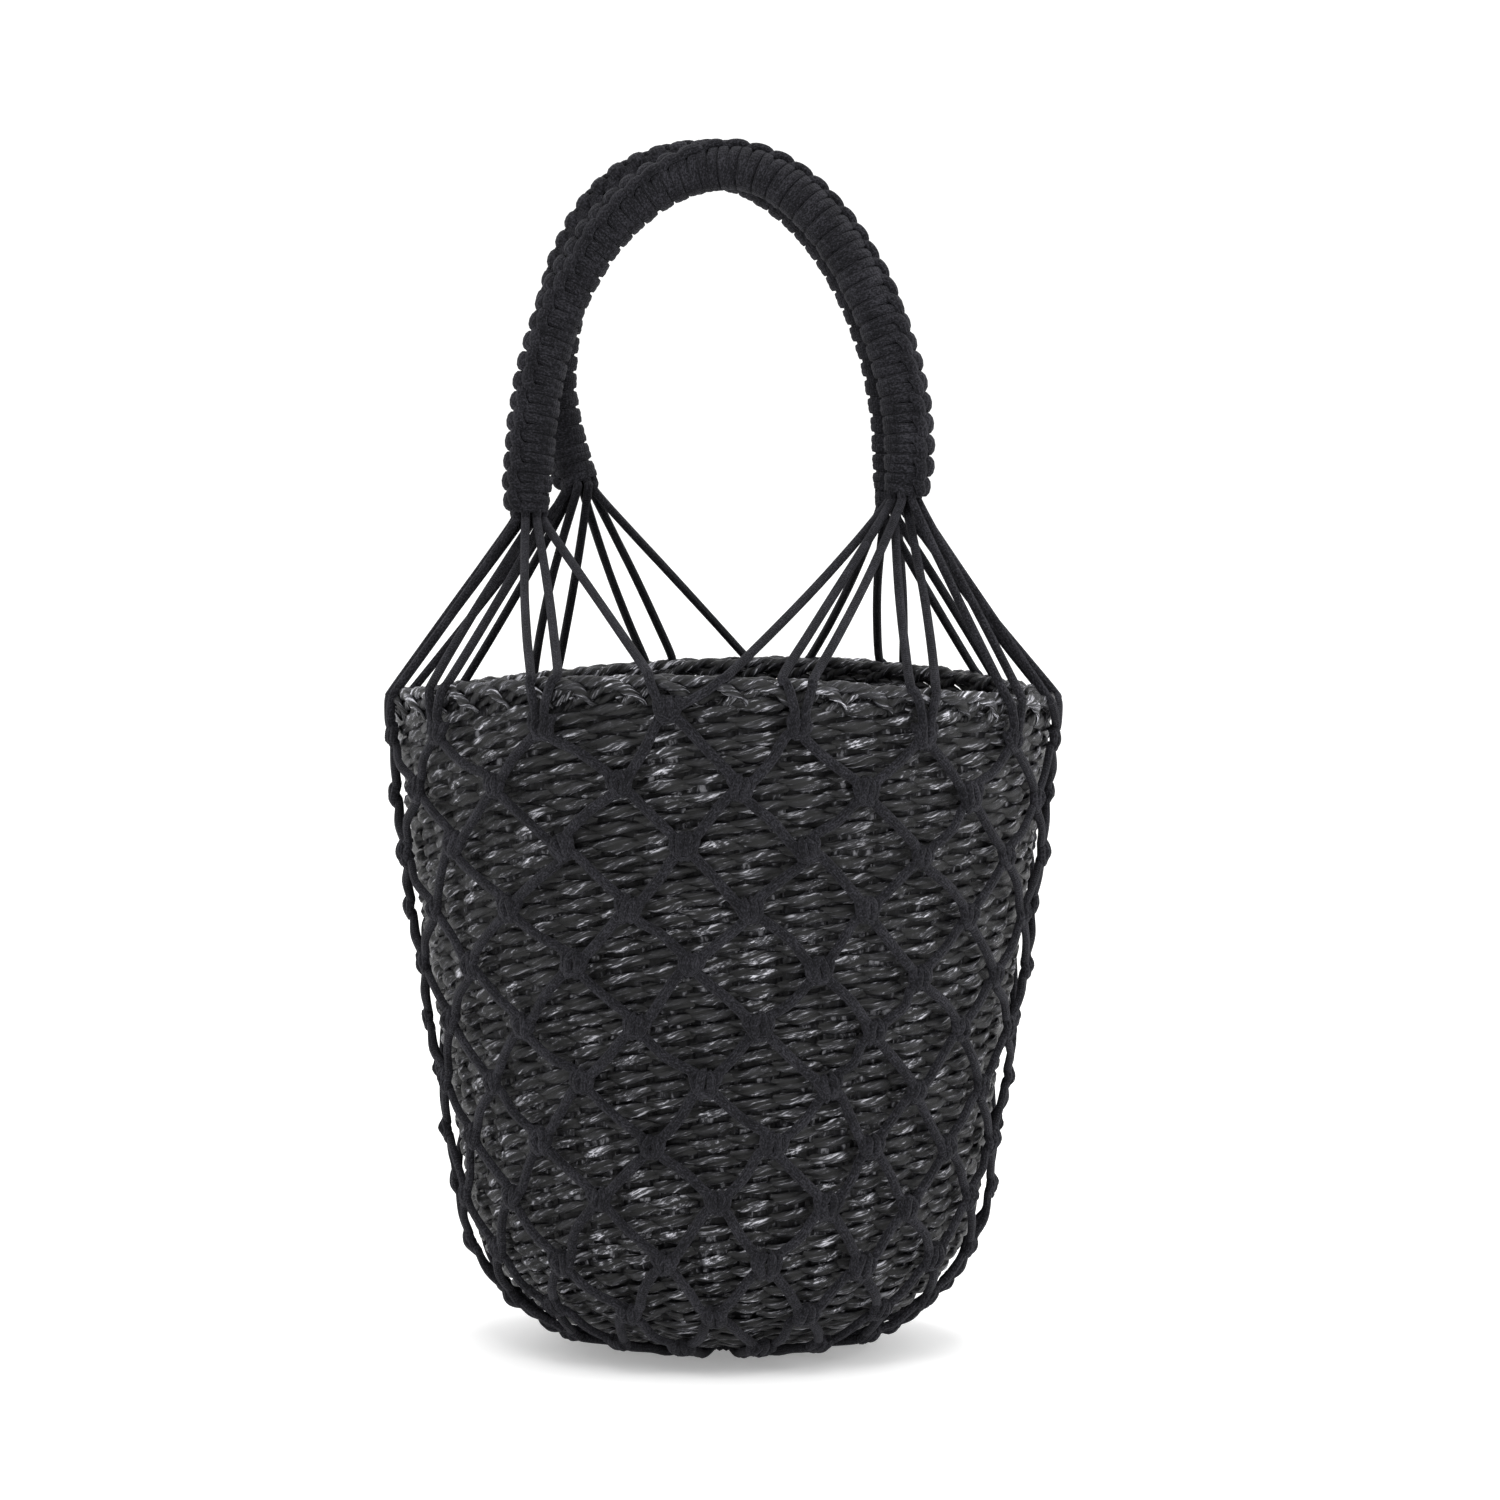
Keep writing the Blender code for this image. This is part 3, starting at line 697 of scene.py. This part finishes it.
def make_cotton():
    """Black cotton cord: small plaited stitches with loose fibres, matt with a soft edge sheen."""
    nodes = Nodes("black_cotton_cord")
    along, around = nodes.strand_parts()
    lean = nodes.math("MULTIPLY", along, 2 * math.pi / PLAIT_LENGTH)
    turn = nodes.math("MULTIPLY", around, 2 * math.pi * PLAITS_ROUND)
    one_way = nodes.math("SINE", nodes.math("ADD", lean, turn))
    other_way = nodes.math("SINE", nodes.math("SUBTRACT", lean, turn))
    plait = nodes.math("MULTIPLY", nodes.math("MULTIPLY", one_way, other_way), 0.5)
    fibres = nodes.noise(nodes.strand_place(0.9, 22.0), 1.0, 3.0, 0.7)
    fluff = nodes.noise(nodes.body_place(), 1500.0, 2.0, 0.7)
    mottle = nodes.noise(nodes.body_place(), 130.0, 2.0, 0.5)
    height = nodes.weighted((plait, 0.45), (fibres, 0.8), (fluff, 0.25))
    normal = nodes.bump(height, 0.42 * MM)
    shade = nodes.weighted((fibres, 0.55), (mottle, 0.15), (fluff, 0.3))
    colour = nodes.ramp(shade, COTTON_COLOURS)
    nodes.shader.inputs["Sheen Weight"].default_value = 0.05
    nodes.shader.inputs["Sheen Roughness"].default_value = 0.6
    nodes.shader.inputs["Sheen Tint"].default_value = (0.8, 0.8, 0.9, 1)
    nodes.shader.inputs["Specular IOR Level"].default_value = 0.1
    return nodes.finish(colour, 0.85, normal)


def make_floor_look():
    """Pale floor that glows a little, so that it stays as white as its surroundings."""
    nodes = Nodes("pale_floor")
    grain = nodes.noise(nodes.body_place(), 3.0, 2.0, 0.5)
    colour = nodes.ramp(grain, FLOOR_COLOURS)
    normal = nodes.bump(grain, 0.05 * MM, 0.1)
    nodes.shader.inputs["Emission Color"].default_value = (1, 1, 1, 1)
    nodes.shader.inputs["Emission Strength"].default_value = GROUND_GLOW
    return nodes.finish(colour, 0.8, normal)


STRAW = make_straw("charcoal_paper_straw", STRAW_GAIN)
# A darker copy of the straw: painted shade for the warps.
SHADED_STRAW = make_straw("charcoal_paper_straw_painted_shade", WARP_PAINTED_SHADE_GAIN)
COTTON = make_cotton()


def add_camera():
    """Camera with the photo's framing, turned to a point beside the bag's middle."""
    data = bpy.data.cameras.new("camera")
    camera = bpy.data.objects.new("camera", data)
    bpy.context.collection.objects.link(camera)
    data.sensor_fit = "HORIZONTAL"
    data.angle = 2 * math.atan(FRAME_WIDTH_AT_BAG / 2 / CAMERA_DISTANCE)
    right = Vector((math.cos(CAMERA_AZIMUTH), math.sin(CAMERA_AZIMUTH), 0))
    back = Vector((math.sin(CAMERA_AZIMUTH), -math.cos(CAMERA_AZIMUTH), 0))
    aside = right * BAG_LEFT_OF_MIDDLE
    target = Vector((0, 0, FRAME_MIDDLE_HEIGHT)) + aside
    camera.location = back * CAMERA_DISTANCE + Vector((0, 0, CAMERA_HEIGHT)) + aside
    camera.rotation_euler = (target - camera.location).to_track_quat("-Z", "Y").to_euler()
    bpy.context.scene.camera = camera


def add_light(name, place, size, power):
    data = bpy.data.lights.new(name, "AREA")
    data.shape = "DISK"
    data.size = size
    data.energy = power
    lamp = bpy.data.objects.new(name, data)
    bpy.context.collection.objects.link(lamp)
    lamp.location = place
    aim = Vector((0, 0, LAMP_TARGET_HEIGHT)) - lamp.location
    lamp.rotation_euler = aim.to_track_quat("-Z", "Y").to_euler()


def add_studio():
    """White surroundings, with soft lamps high in front, above and on the right."""
    world = bpy.data.worlds.new("studio")
    bpy.context.scene.world = world
    world.use_nodes = True
    background = world.node_tree.nodes["Background"]
    background.inputs["Color"].default_value = (1, 1, 1, 1)
    background.inputs["Strength"].default_value = WORLD_STRENGTH
    bpy.context.scene.view_settings.view_transform = "Standard"
    for lamp in LAMPS:
        add_light(*lamp)
    turn = np.linspace(0, 2 * math.pi, GROUND_SIDES, endpoint=False)
    points = round_bag(turn, GROUND_RADIUS, 0.0)
    mesh = bpy.data.meshes.new("floor")
    mesh.from_pydata(points.tolist(), [], [tuple(range(GROUND_SIDES))])
    mesh.materials.append(make_floor_look())
    floor = bpy.data.objects.new("floor", mesh)
    bpy.context.collection.objects.link(floor)


def weave_zone(zone, top):
    """A stretch of weft: one strand that spirals down, over and under the warps."""
    weave = Strands()
    warps = zone["warps"]
    stitches = zone["turns"] * warps
    place = np.linspace(0, stitches, stitches * zone["steps"] + 1)
    centres = np.arange(stitches + 1)
    varied = {}
    for key, spread in WEFT_SPREADS:
        varied[key] = np.interp(place, centres, RANDOM.normal(0, spread, stitches + 1))
    tint = np.interp(place, centres, RANDOM.uniform(0, 1, stitches + 1))
    angle = 2 * math.pi * place / warps
    down = top + WEFT_PITCH * place / warps
    over = np.cos(math.pi * place)
    tilt = WEFT_TILT * (1 + varied["tilt"]) * np.sin(math.pi * place)
    fullness = np.abs(over) ** FULLNESS_POWER
    depth = down - lift(angle, down) - tilt - varied["rise"] * fullness
    offset = -STRAW_WALL / 2 + WEFT_SWING * over + varied["out"]
    height = WEFT_HEIGHT_BETWEEN + (WEFT_HEIGHT_AT_WARP - WEFT_HEIGHT_BETWEEN) * fullness
    # The shade is painted shade: the weft darkens where it dives under the warps and is a little
    # brighter on top of them.
    weave.add(
        on_bag(angle, depth, offset), out_of_bag(angle, depth), WEFT_THICKNESS,
        height * (1 + varied["height"] * fullness), tint=tint, plies=(PLY_GROOVE, WEFT_LAY),
        shade=WEFT_SHADE_UNDER + WEFT_SHADE_GAIN * smooth(fullness * WEFT_SHADE_STEEPNESS),
    )
    weave.build("straw_weft_" + zone["name"], STRAW, "straw", "straw_bucket")


def weave_bucket():
    """The weft, zone by zone, and the upright strands that it passes over and under."""
    weave = Strands()
    top = WEAVE_START
    for zone in WEAVE_ZONES:
        weave_zone(zone, top)
        low = min(top + WEFT_PITCH * (zone["turns"] + 1), PROFILE_DEPTHS[-1])
        depth = np.linspace(top, low, WARP_POINTS)
        top += WEFT_PITCH * zone["turns"]
        for warp in range(zone["warps"]):
            angle = 2 * math.pi * warp / zone["warps"]
            down = depth - lift(angle, depth)
            path = on_bag(angle, down, -STRAW_WALL / 2)
            outs = out_of_bag(angle, down)
            weave.add(path, outs, WARP_THICKNESS, WARP_WIDTH, 6, RANDOM.uniform())
    # The warps take the darker straw copy, as painted shade.
    weave.build("straw_warps", SHADED_STRAW, "straw", "straw_bucket")


def rim_middle(angle):
    """Radius and height of the middle of the border's section."""
    radius, height = skin(-lift(angle), -STRAW_WALL / 2)
    return radius, height + FIT + RIM_HEIGHT / 2


def braid_border():
    """Braided edge: each warp's end arches over the next ones, outside and inside."""
    braid = Strands()
    warps = WEAVE_ZONES[0]["warps"]
    step = 2 * math.pi / warps
    for inside, start in ((False, 0.0), (True, 0.5)):
        for warp in range(warps):
            route = np.array(INNER_BORDER_ROUTE if inside else BORDER_ROUTE)
            route = route + RANDOM.normal(0, 1, route.shape) * BORDER_SPREADS
            curve = curve_through(route, 4)
            angle = (warp + start + curve[:, 0]) * step
            radius, height = rim_middle(angle)
            out = curve[:, 1] * MM * (-1 if inside else 1)
            path = round_bag(angle, radius + out, height + curve[:, 2] * MM)
            outs = round_bag(angle, 1.0, 0.0) * (-1 if inside else 1)
            near = np.minimum(curve[:, 0], curve[-1, 0] - curve[:, 0])
            ends = np.clip(near / BORDER_TAPER_STEPS, BORDER_END_TAPER, 1)
            # Painted shade on the border strands that lie further in, and painted light on those
            # further out.
            over = smooth((curve[:, 1] - BORDER_SHADE_START) / BORDER_SHADE_REACH)
            braid.add(
                path, outs, BORDER_THICKNESS * ends, BORDER_WIDTH * ends, 10, RANDOM.uniform(),
                plies=(PLY_GROOVE, BORDER_LAY),
                shade=BORDER_SHADE_UNDER + BORDER_SHADE_GAIN * over,
            )
    braid.build("straw_border", STRAW, "straw", "rim_braid")


def knot_place(row, column):
    """Angle and depth of a knot. Odd rows sit half a step on, and the net leans a little."""
    angle = (column + (row % 2) / 2) * KNOT_STEP + row * TWIST_PER_ROW
    depth = FIRST_KNOT_DEPTH + row * ROW_PITCH
    return angle, depth - lift(angle, depth)


def slip(angle, depth):
    """How far the net has slipped to the right at a knot."""
    total = 0.0
    for place in NET_SLIPS:
        aside = math.degrees(math.remainder(angle - math.radians(place["angle"]), 2 * math.pi))
        across = aside / place["width"]
        down = (depth - place["depth"]) / place["reach"]
        total += place["slip"] * math.exp(-(across ** 2 + down ** 2) / 2)
    return total


class Net:
    """Knots and the cords between them, laid on the bucket's outside."""

    def __init__(self):
        self.places = {}
        for row in range(ROWS):
            for column in range(KNOTS_PER_ROW):
                angle, depth = knot_place(row, column)
                radius = skin(depth)[0]
                shift = RANDOM.normal(0, KNOT_SCATTER, 2) if row else np.zeros(2)
                shift[0] += slip(angle, depth)
                if (row, column) == PULLED_KNOT:
                    shift[1] -= PULLED_UP
                lean = RANDOM.normal(0, KNOT_LEAN)
                self.places[row, column] = (angle + shift[0] / radius, depth + shift[1], lean)

    def local(self, row, column, points):
        """Points given in millimetres right, up and out from a knot, as angle, depth and offset."""
        angle, depth, lean = self.places[row, column]
        points = np.asarray(points, float) * MM
        right = points[:, 0] * math.cos(lean) - points[:, 1] * math.sin(lean)
        up = points[:, 0] * math.sin(lean) + points[:, 1] * math.cos(lean)
        down = depth - up
        return np.column_stack([angle + right / skin(down)[0], down, points[:, 2]])

    def path(self, spots):
        """Points and outward directions for angles, depths and offsets from the net's inside."""
        angle, depth, offset = spots.T
        reach = np.maximum(offset, CORD_RADIUS)
        return on_bag(angle, depth, standoff(depth) + reach), out_of_bag(angle, depth)

    def knots(self, strands):
        for row, column in self.places:
            size = RANDOM.normal(1.0, KNOT_SIZE_SPREAD)
            for hand in (1, -1):
                for route, thick in KNOT_STRANDS:
                    uneven = route + RANDOM.normal(0, KNOT_ROUTE_SPREAD, (len(route), 3))
                    spots = self.local(row, column, uneven * (hand, 1, 1) * size)
                    path, outs = self.path(curve_through(spots, 3))
                    strands.add(path, outs, thick, thick, tint=RANDOM.uniform())

    def cords(self, strands):
        for row in range(ROWS - 1):
            for column in range(KNOTS_PER_ROW):
                for hand in (1, -1):
                    beside = (column + row % 2 + (0 if hand > 0 else -1)) % KNOTS_PER_ROW
                    path, outs = self.between(row, column, beside, hand)
                    strands.add(path, outs, CORD_THICKNESS, CORD_WIDTH, tint=RANDOM.uniform())

    def between(self, row, column, beside, hand):
        """A cord from a knot's foot down to the top corner of the next row's knot."""
        leave = self.local(row, column, np.multiply(CORD_LEAVES, (hand, 1, 1)))
        reach = self.local(row + 1, beside, np.multiply(CORD_ENTERS, (hand, 1, 1)))
        turns = round((leave[0, 0] - reach[0, 0]) / (2 * math.pi))
        reach[:, 0] += turns * 2 * math.pi
        middle = (leave[-1] + reach[0]) / 2
        middle[0] += RANDOM.normal(0, CORD_SPREADS[0]) / skin(middle[1])[0]
        middle[1] += RANDOM.normal(0, CORD_SPREADS[1])
        middle[2] += abs(RANDOM.normal(0, CORD_SPREADS[2]))
        return self.path(curve_through(np.vstack([leave, middle, reach]), 4))

    def underside(self, strands):
        """Cords from the lowest knots, drawn in to a wound ring under the floor."""
        row = ROWS - 1
        for column in range(KNOTS_PER_ROW):
            for hand in (1, -1):
                leave = self.local(row, column, np.multiply(UNDER_LEAVES, (hand, 1, 1)))
                path, _ = self.path(leave)
                angle, depth, _ = leave[-1]
                radius = skin(depth)[0]
                ring = UNDER_RADIUS + UNDER_PAIR_SPREAD * hand
                low = CORD_RADIUS + UNDER_ROOM
                route = [path[0], path[1]]
                for share in (0.3, 0.6, 1.0):
                    reach = radius + (ring - radius) * share
                    height = path[1][2] + (low - path[1][2]) * smooth(share * 1.6)
                    turned = angle - hand * UNDER_PAIR_TURN * share
                    route.append(round_bag(turned, reach, height))
                tucked = CORD_RADIUS + UNDER_TUCK_HEIGHT
                route.append(round_bag(angle, ring - UNDER_TUCK, tucked))
                path, tint = curve_through(route, 4), RANDOM.uniform()
                strands.add(path, (0, 0, -1), CORD_DIAMETER, CORD_DIAMETER, tint=tint)
        self.ring(strands)

    def ring(self, strands):
        """Cord wound in a tight helix round the drawn-in ends."""
        turn = np.linspace(0, 2 * math.pi, RING_WINDS * RING_POINTS, endpoint=False)
        wind = turn * RING_WINDS
        radius = RING_RADIUS + RING_HALF_WIDTH * np.cos(wind)
        height = RING_HEIGHT + RING_HALF_DEPTH * np.sin(wind)
        path = round_bag(turn, radius, height)
        outs = unit(path - round_bag(turn, RING_RADIUS, RING_HEIGHT))
        strands.add(path, outs, RING_CORD_THICKNESS, RING_CORD_WIDTH, 6, closed=True)


def build_net():
    net = Net()
    knots = Strands()
    net.knots(knots)
    knots.build("net_knots", COTTON, "cord", "net_wall")
    cords = Strands()
    net.cords(cords)
    cords.build("net_cords", COTTON, "cord", "net_wall")
    under = Strands()
    net.underside(under)
    under.build("net_underside", COTTON, "cord", "net_base")


def handle_middle(handle, share):
    """Middle of a handle at a share of its length, from its left end to its right end."""
    ends = BUCKET_TOP_HEIGHT + handle["clearance"] * HANDLE_CLEARANCE
    rise = handle["rise"] * HANDLE_RISE
    arch = rise - HANDLE_LEG
    mean_span = HANDLE_SPAN * (handle["left"]["span"] + handle["right"]["span"]) / 2
    run = math.pi * (mean_span + arch) / 2 + 2 * HANDLE_LEG
    leg_share = HANDLE_LEG / run
    leg = handle["left"] if share < 0.5 else handle["right"]
    if share < leg_share:
        reach, climb = 1.0, share * run / rise
    elif share > 1 - leg_share:
        reach, climb = -1.0, (1 - share) * run / rise
    else:
        turn = math.pi * (share - leg_share) / (1 - 2 * leg_share)
        power = 2 / leg["roundness"]
        reach = math.copysign(abs(math.cos(turn)) ** power, math.cos(turn))
        climb = (HANDLE_LEG + arch * math.sin(turn) ** power) / rise
    low = max(1 - climb / FOOT_REACH, 0) ** 2
    x = -reach * HANDLE_SPAN * (leg["span"] - leg["pinch"] * low)
    x -= handle["lean"] * rise * climb ** 4
    top_y = HANDLE_RADIUS + FIT
    y = HANDLE_FOOT_SPREAD + (top_y - HANDLE_FOOT_SPREAD) * smooth(climb)
    z = ends + rise * climb - HANDLE_LEG * leg["drop"] * low
    return np.array([x, handle["side"] * y, z])


class HandleLine:
    """Middle line of a handle by length, with the directions out of the arch and sideways."""

    def __init__(self, handle):
        shares = np.linspace(0, 1, LINE_POINTS)
        path = np.array([handle_middle(handle, share) for share in shares])
        kernel = np.hanning(LINE_WINDOW) / np.hanning(LINE_WINDOW).sum()
        margin = LINE_WINDOW // 2
        padded = np.pad(path, ((margin, margin), (0, 0)), "edge")
        soft = np.column_stack([np.convolve(padded[:, i], kernel, "valid") for i in range(3)])
        number = np.arange(LINE_POINTS)
        blend = smooth(np.minimum(number, number[::-1]) / LINE_BLEND)[:, None]
        self.path = path + (soft - path) * blend
        steps = np.linalg.norm(np.diff(self.path, axis=0), axis=1)
        self.at = np.concatenate([[0.0], np.cumsum(steps)])
        self.length = self.at[-1]
        self.along = unit(np.gradient(self.path, axis=0))
        away = np.array([0.0, handle["side"], 0.0])
        self.sideways = unit(away - self.along * (self.along @ away)[:, None])
        self.outward = np.cross(self.along, self.sideways) * handle["side"]

    def frame(self, at):
        """Middle, outward, sideways and along at a length."""
        found = []
        for rows in (self.path, self.outward, self.sideways, self.along):
            found.append(np.column_stack([np.interp(at, self.at, rows[:, i]) for i in range(3)]))
        return found


def end_taper(line, at):
    """How much thinner a handle gets near its ends."""
    near = np.minimum(at, line.length - at)
    return END_TAPER + (1 - END_TAPER) * smooth(near / END_TAPER_REACH)


def ridge_degrees(handle, line, place):
    """Where the ridge runs at a length, in degrees from the arch's outer side."""
    shares, degrees = np.array(RIDGES[handle["name"]], float).T
    return np.interp(place / line.length, shares, degrees)


def handle_core(line):
    """The bundle inside the wraps, up to the middle of their depth."""
    core = Strands()
    at = np.linspace(CORE_INSET, line.length - CORE_INSET, CORE_POINTS)
    middle, outward, _, _ = line.frame(at)
    thickness = HANDLE_DIAMETER * end_taper(line, at) - WRAP_DEPTH
    core.add(middle, outward, thickness, thickness, 16)
    return core


def handle_wraps(handle, line, count):
    """Wraps side by side, each other one slanted the other way."""
    wraps = Strands()
    pitch = line.length / count
    turn = np.linspace(0, 2 * math.pi, WRAP_POINTS, endpoint=False)
    for wrap in range(count):
        place = (wrap + 0.5) * pitch + RANDOM.normal(0, WRAP_PLACE_SPREAD)
        middle, outward, sideways, along = (rows[0] for rows in line.frame([place]))
        radial = np.outer(np.cos(turn), outward) + np.outer(np.sin(turn), sideways)
        ridge = math.radians(ridge_degrees(handle, line, place))
        slant = WRAP_SLANT * (1 if wrap % 2 else WRAP_SLANT_BACK)
        slant += RANDOM.normal(0, WRAP_SLANT_SPREAD)
        radius = HANDLE_RADIUS * end_taper(line, place)
        reach = radius - WRAP_DEPTH / 2 + RANDOM.normal(0, WRAP_REACH_SPREAD)
        shift = slant * np.cos(turn - ridge)
        path = middle + radial * reach + np.outer(shift, along)
        width = WRAP_WIDTH * RANDOM.normal(1, WRAP_WIDTH_SPREAD)
        wraps.add(
            path, radial, WRAP_DEPTH, width, 8, RANDOM.uniform(),
            closed=True, square=WRAP_SQUARENESS,
        )
    return wraps


def handle_lobes(handle, line, count):
    """Knuckles and spine lobes along the ridge, one of each to two wraps."""
    lobes = Strands()
    pitch = line.length / count
    for pair in range(count // 2):
        for lobe in LOBES:
            place = (2 * pair + 1 + lobe["shift"]) * pitch
            turned, along, rise = np.array(lobe["route"]).T
            spots = place + along * MM * RANDOM.normal(1, LOBE_LENGTH_SPREAD)
            spots = np.clip(spots, CORE_INSET, line.length - CORE_INSET)
            middle, outward, sideways, _ = line.frame(spots)
            ridge = ridge_degrees(handle, line, place) + RANDOM.normal(0, LOBE_TURN_SPREAD)
            aside = np.radians(ridge + turned)
            radial = outward * np.cos(aside)[:, None] + sideways * np.sin(aside)[:, None]
            radius = HANDLE_RADIUS * end_taper(line, spots) - lobe["depth"] / 2
            reach = radius + (LOBE_RISE + rise * RANDOM.normal(1, LOBE_RISE_SPREAD)) * MM
            path = curve_through(middle + radial * reach[:, None], 3)
            outs = curve_through(radial, 3)
            lobes.add(path, outs, lobe["depth"], lobe["width"], 10, RANDOM.uniform())
    return lobes


def wrap_handle(handle):
    """A handle's core, the hitches round it and the ridge that their knots make."""
    line = HandleLine(handle)
    count = round(line.length / WRAP_PITCH)
    node = "handle_" + handle["name"]
    handle_core(line).build(node + "_core", COTTON, "cord", node)
    handle_wraps(handle, line, count).build(node + "_wraps", COTTON, "cord", node)
    handle_lobes(handle, line, count).build(node + "_ridge", COTTON, "cord", node)


def cord_start(handle, end_side, cord):
    """Where a gather cord leaves the handle end, in a ring of eight."""
    turn = math.radians(CORD_SLOTS[cord])
    ring = CORD_RING * (CORD_DIAMETER + FIT)
    end = handle_middle(handle, 0.0 if end_side < 0 else 1.0)
    inward = np.array([-end_side * math.cos(turn), -handle["side"] * math.sin(turn), 0.0])
    return end + inward * ring - (0, 0, FIT)


def round_border(fan, angles):
    """A cord's points on the border's top, shoulder and side, and its distance out there."""
    reach_out = RIM_THICKNESS / 2 + CORD_RADIUS + FIT
    reach_up = (RIM_HEIGHT / 2 + CORD_RADIUS + FIT) * BORDER_TOP_ROOM
    rim_radius, rim_height = rim_middle(angles[0])
    over = round_bag(angles[0], rim_radius, rim_height + reach_up)
    away = fan - over
    inward = unit(-over * (1, 1, 0))
    slope = away[2] / max(away @ inward, CORD_DIAMETER)
    leave = math.atan2(reach_up, reach_out * slope)
    touch = []
    for angle, share in zip(angles, BORDER_TOUCHES):
        rim_radius, rim_height = rim_middle(angle)
        out = rim_radius + reach_out * math.cos(leave * share)
        up = rim_height + reach_up * math.sin(leave * share)
        touch.append(round_bag(angle, out, up))
    return touch, rim_radius + reach_out


def border_spread(handle, end_side, column):
    """How far beside its knot a cord crosses the border."""
    if handle["side"] < 0 and column == PULLED_KNOT[1]:
        return PULLED_SPREAD[end_side]
    if column in (0, CORDS_PER_END // 2):
        return SHARED_SPREAD
    return PAIR_SPREAD


def gather_route(handle, end_side, cord):
    """A gather cord: out of the handle end, over the border and into its knot."""
    column = (cord + 1) // 2
    centre_angle = math.pi if handle["side"] > 0 else 0.0
    turn_way = end_side if handle["side"] < 0 else -end_side
    side_way = turn_way * (-1 if cord % 2 else 1)
    quarter = KNOTS_PER_ROW // 4
    knot_angle = centre_angle + turn_way * column * KNOT_STEP * quarter / (CORDS_PER_END // 2)
    knot_depth = FIRST_KNOT_DEPTH - lift(knot_angle)
    knot_angle += slip(knot_angle, knot_depth) / BUCKET_TOP_RADIUS
    end_depth = knot_depth - KNOT_SIZE / 2 - FIT
    if handle["side"] < 0 and column == PULLED_KNOT[1]:
        knot_depth -= PULLED_UP
    end_radius, end_height = skin(end_depth, NET_STANDOFF_TOP + CORD_RADIUS)
    spread = border_spread(handle, end_side, column)
    angles = knot_angle + side_way * spread / end_radius * np.array(RIM_SLANT)
    start = cord_start(handle, end_side, cord)
    fan = start - (0, 0, CORD_FAN_DROP)
    touch, side_radius = round_border(fan, angles)
    side_step = side_way * (CORD_DIAMETER + FIT) / 2 / end_radius
    entry = round_bag(knot_angle + side_step, max(end_radius, side_radius), end_height)
    inner_depth = knot_depth - CORD_END_RISE
    inner = on_bag(knot_angle + side_step * 1.3, inner_depth, NET_STANDOFF_TOP + CORD_END_OUT)
    sway = round_bag(angles[0] + math.pi / 2, 1.0, 0.0) * side_way
    bow = (CORD_BOW + RANDOM.normal(0, CORD_BOW_SPREAD)) * MM
    middle = []
    for share, part in CORD_BOW_PARTS:
        middle.append(fan + (touch[0] - fan) * share + sway * bow * part)
    inside = CORD_TOP_SHARE if end_side < 0 else 1 - CORD_TOP_SHARE
    top = start + handle_middle(handle, inside)
    top = top - handle_middle(handle, 0.0 if end_side < 0 else 1.0)
    bend = fan + (start - fan) * CORD_FAN_SHARE
    return np.vstack([top, start, bend, *middle, *touch, entry, inner])


def hang_gather_cords(handle):
    for end, end_side in (("left", -1), ("right", 1)):
        for cord in range(CORDS_PER_END):
            name = f"gather_{handle['name']}_{end}_{cord + 1}"
            strands = Strands()
            path = curve_through(gather_route(handle, end_side, cord), 5)
            outs = unit(path * (1, 1, 0))
            strands.add(path, outs, CORD_DIAMETER, CORD_DIAMETER, 10, RANDOM.uniform())
            strands.build(name + "_cord", COTTON, "cord", name)


add_camera()
add_studio()
weave_bucket()
braid_border()
build_net()
for arch in HANDLES:
    wrap_handle(arch)
    hang_gather_cords(arch)
